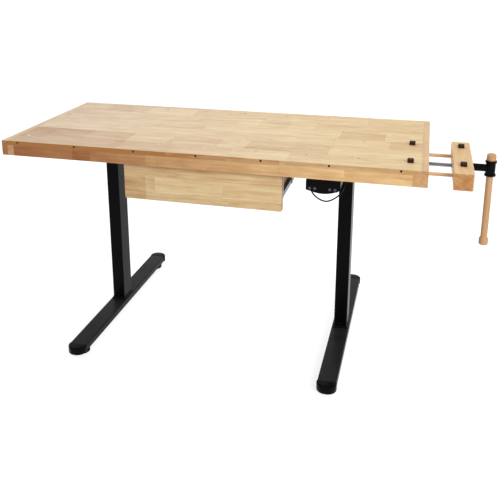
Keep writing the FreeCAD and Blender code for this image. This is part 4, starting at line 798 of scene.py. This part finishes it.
# One dog is modelled over the origin, its working face towards +X, and then copied.
DOG_HEAD = (0.0205, 0.0235, 0.0107)
DOG_STANDS_OFF = 0.3 * MM
DOG_CORNER, DOG_EDGE = 0.005, 0.0012
FACE_RIM, FACE_SINK = 0.0017, 0.0008
start_block(DOG_HEAD, (0.0, 0.0, top_surface + DOG_STANDS_OFF + DOG_HEAD[2] / 2))
pick("edges", upright_edge)
bpy.ops.mesh.bevel(offset=DOG_CORNER, segments=4, affect="EDGES")
pick("faces", lambda place, points: points.x > 0.95)
bpy.ops.mesh.inset(thickness=FACE_RIM)
bpy.ops.mesh.extrude_region_move(TRANSFORM_OT_translate={"value": (-FACE_SINK, 0.0, 0.0)})
pick("edges", lambda place, points: place.z > DOG_HEAD[2] / 2 - NEAR)
bpy.ops.mesh.bevel(offset=DOG_EDGE, segments=3, affect="EDGES")
dog = end_editing(smooth_angle=35)
shank = turn_on_lathe(((8.4, -24.0), (9.7, -22.6), (9.7, -17.0), (8.9, -16.2), (8.9, -12.6),
                       (9.7, -11.8), (9.7, 0.6)))
shank.location.z = top_surface
bpy.ops.object.select_all(action="DESELECT")
shank.select_set(True)
dog.select_set(True)
bpy.context.view_layer.objects.active = dog
bpy.ops.object.join()
bpy.ops.object.transform_apply(location=True, rotation=True, scale=True)
for name, turn in (("bench_dog_front", 0.0), ("bench_dog_rear", 0.0), ("jaw_dog_front", math.pi),
                   ("jaw_dog_rear", math.pi)):
    standing = bpy.data.objects.new(f"{name}_moulding", dog.data.copy())
    bpy.context.scene.collection.objects.link(standing)
    standing.location = (middle(name).x, middle(name).y, 0.0)
    standing.rotation_euler = (0.0, 0.0, turn)
    put_away(standing, f"{name}_moulding", dog_nylon, name, "black_plastic", name)
bpy.data.objects.remove(dog)


# The studio

# A plain pale floor in a white room, a soft lamp high behind the bench, a strong broad one at its
# front right that nothing mirrors, and the camera at the photograph's place.

# The floor and the room look as white as the photograph's ground, but light the bench less.
FLOOR_RADIUS = 80.0
FLOOR_GLOW = 0.74
ROOM_LIGHT, BACKDROP_LIGHT = 0.5, 1.0
WHITE = (1.0, 1.0, 1.0, 1.0)


def looked_at(tree):
    """1 for a ray from the camera or by way of a mirror or glass, and 0 for light that bounces."""
    ray = add(tree, "ShaderNodeLightPath").outputs
    seen = add(tree, "ShaderNodeMath", {0: ray["Is Camera Ray"], 1: ray["Is Glossy Ray"]},
               operation="MAXIMUM").outputs[0]
    return add(tree, "ShaderNodeMath", {0: seen, 1: ray["Is Transmission Ray"]},
               operation="MAXIMUM").outputs[0]


bpy.ops.object.select_all(action="DESELECT")
bpy.ops.mesh.primitive_circle_add(vertices=96, radius=FLOOR_RADIUS, fill_type="NGON")
floor = bpy.context.object
floor.name = "studio_floor"
floor_paper, tree, shader = new_finish("studio_paper", Base_Color=linear("#c8c8c8"), Roughness=0.9,
                                       Specular_IOR_Level=0.0, Emission_Color=WHITE)
glow = add(tree, "ShaderNodeMath", {0: looked_at(tree), 1: FLOOR_GLOW}, operation="MULTIPLY")
tree.links.new(glow.outputs[0], shader.inputs["Emission Strength"])
floor.data.materials.append(floor_paper)

world = bpy.data.worlds.new("studio_world")
bpy.context.scene.world = world
world.use_nodes = True
tree = world.node_tree
tree.nodes.clear()
light = add(tree, "ShaderNodeMapRange", {"Value": looked_at(tree), "To Min": ROOM_LIGHT,
                                         "To Max": BACKDROP_LIGHT}).outputs[0]
backdrop = add(tree, "ShaderNodeBackground", {"Color": WHITE, "Strength": light})
add(tree, "ShaderNodeOutputWorld", {"Surface": backdrop.outputs[0]})

for name, place, target, size, watts, mirrored in (
        ("high_back_lamp", (-0.6, 1.6, 3.2), (0.0, 0.0, 0.8), 2.0, 28.0, True),
        ("front_right_lamp", (4.2, -6.0, 4.0), (0.0, 0.0, 0.7), 3.0, 342.0, False)):
    lamp = bpy.data.lights.new(name, "AREA")
    lamp.size = size
    lamp.energy = watts
    stand = bpy.data.objects.new(name, lamp)
    stand.location = place
    stand.rotation_euler = (Vector(target) - Vector(place)).to_track_quat("-Z", "Y").to_euler()
    stand.visible_glossy = mirrored
    bpy.context.scene.collection.objects.link(stand)

# The camera's place, turn and lens were fitted to the bench's outline in the photograph, with the
# vertical shift held where the bench stays in the frame of the other views, which keep it.
PHOTO_WIDTH = 500
FOCAL_LENGTH_IN_PIXELS = 699.98
SENSOR_WIDTH = 36.0
LENS_SHIFT = (0.02734, -0.2)
FAR_LIMIT = 300.0
CAMERA_PLACE = (0.60851, -2.48939, 1.46189)
CAMERA_PITCH, CAMERA_YAW, CAMERA_ROLL = 0.27877, 0.26551, -0.00409
lens = bpy.data.cameras.new("photograph_camera")
lens.sensor_width = SENSOR_WIDTH
lens.lens = FOCAL_LENGTH_IN_PIXELS / PHOTO_WIDTH * SENSOR_WIDTH
lens.shift_x, lens.shift_y = LENS_SHIFT
lens.clip_end = FAR_LIMIT
camera = bpy.data.objects.new("photograph_camera", lens)
camera.location = CAMERA_PLACE
yawed = Matrix.Rotation(CAMERA_YAW, 3, "Z")
pitched = Matrix.Rotation(math.pi / 2 - CAMERA_PITCH, 3, "X")
rolled = Matrix.Rotation(CAMERA_ROLL, 3, "Z")
camera.rotation_euler = (yawed @ pitched @ rolled).to_euler()
bpy.context.scene.collection.objects.link(camera)
bpy.context.scene.camera = camera
bpy.context.scene.view_settings.view_transform = "Standard"
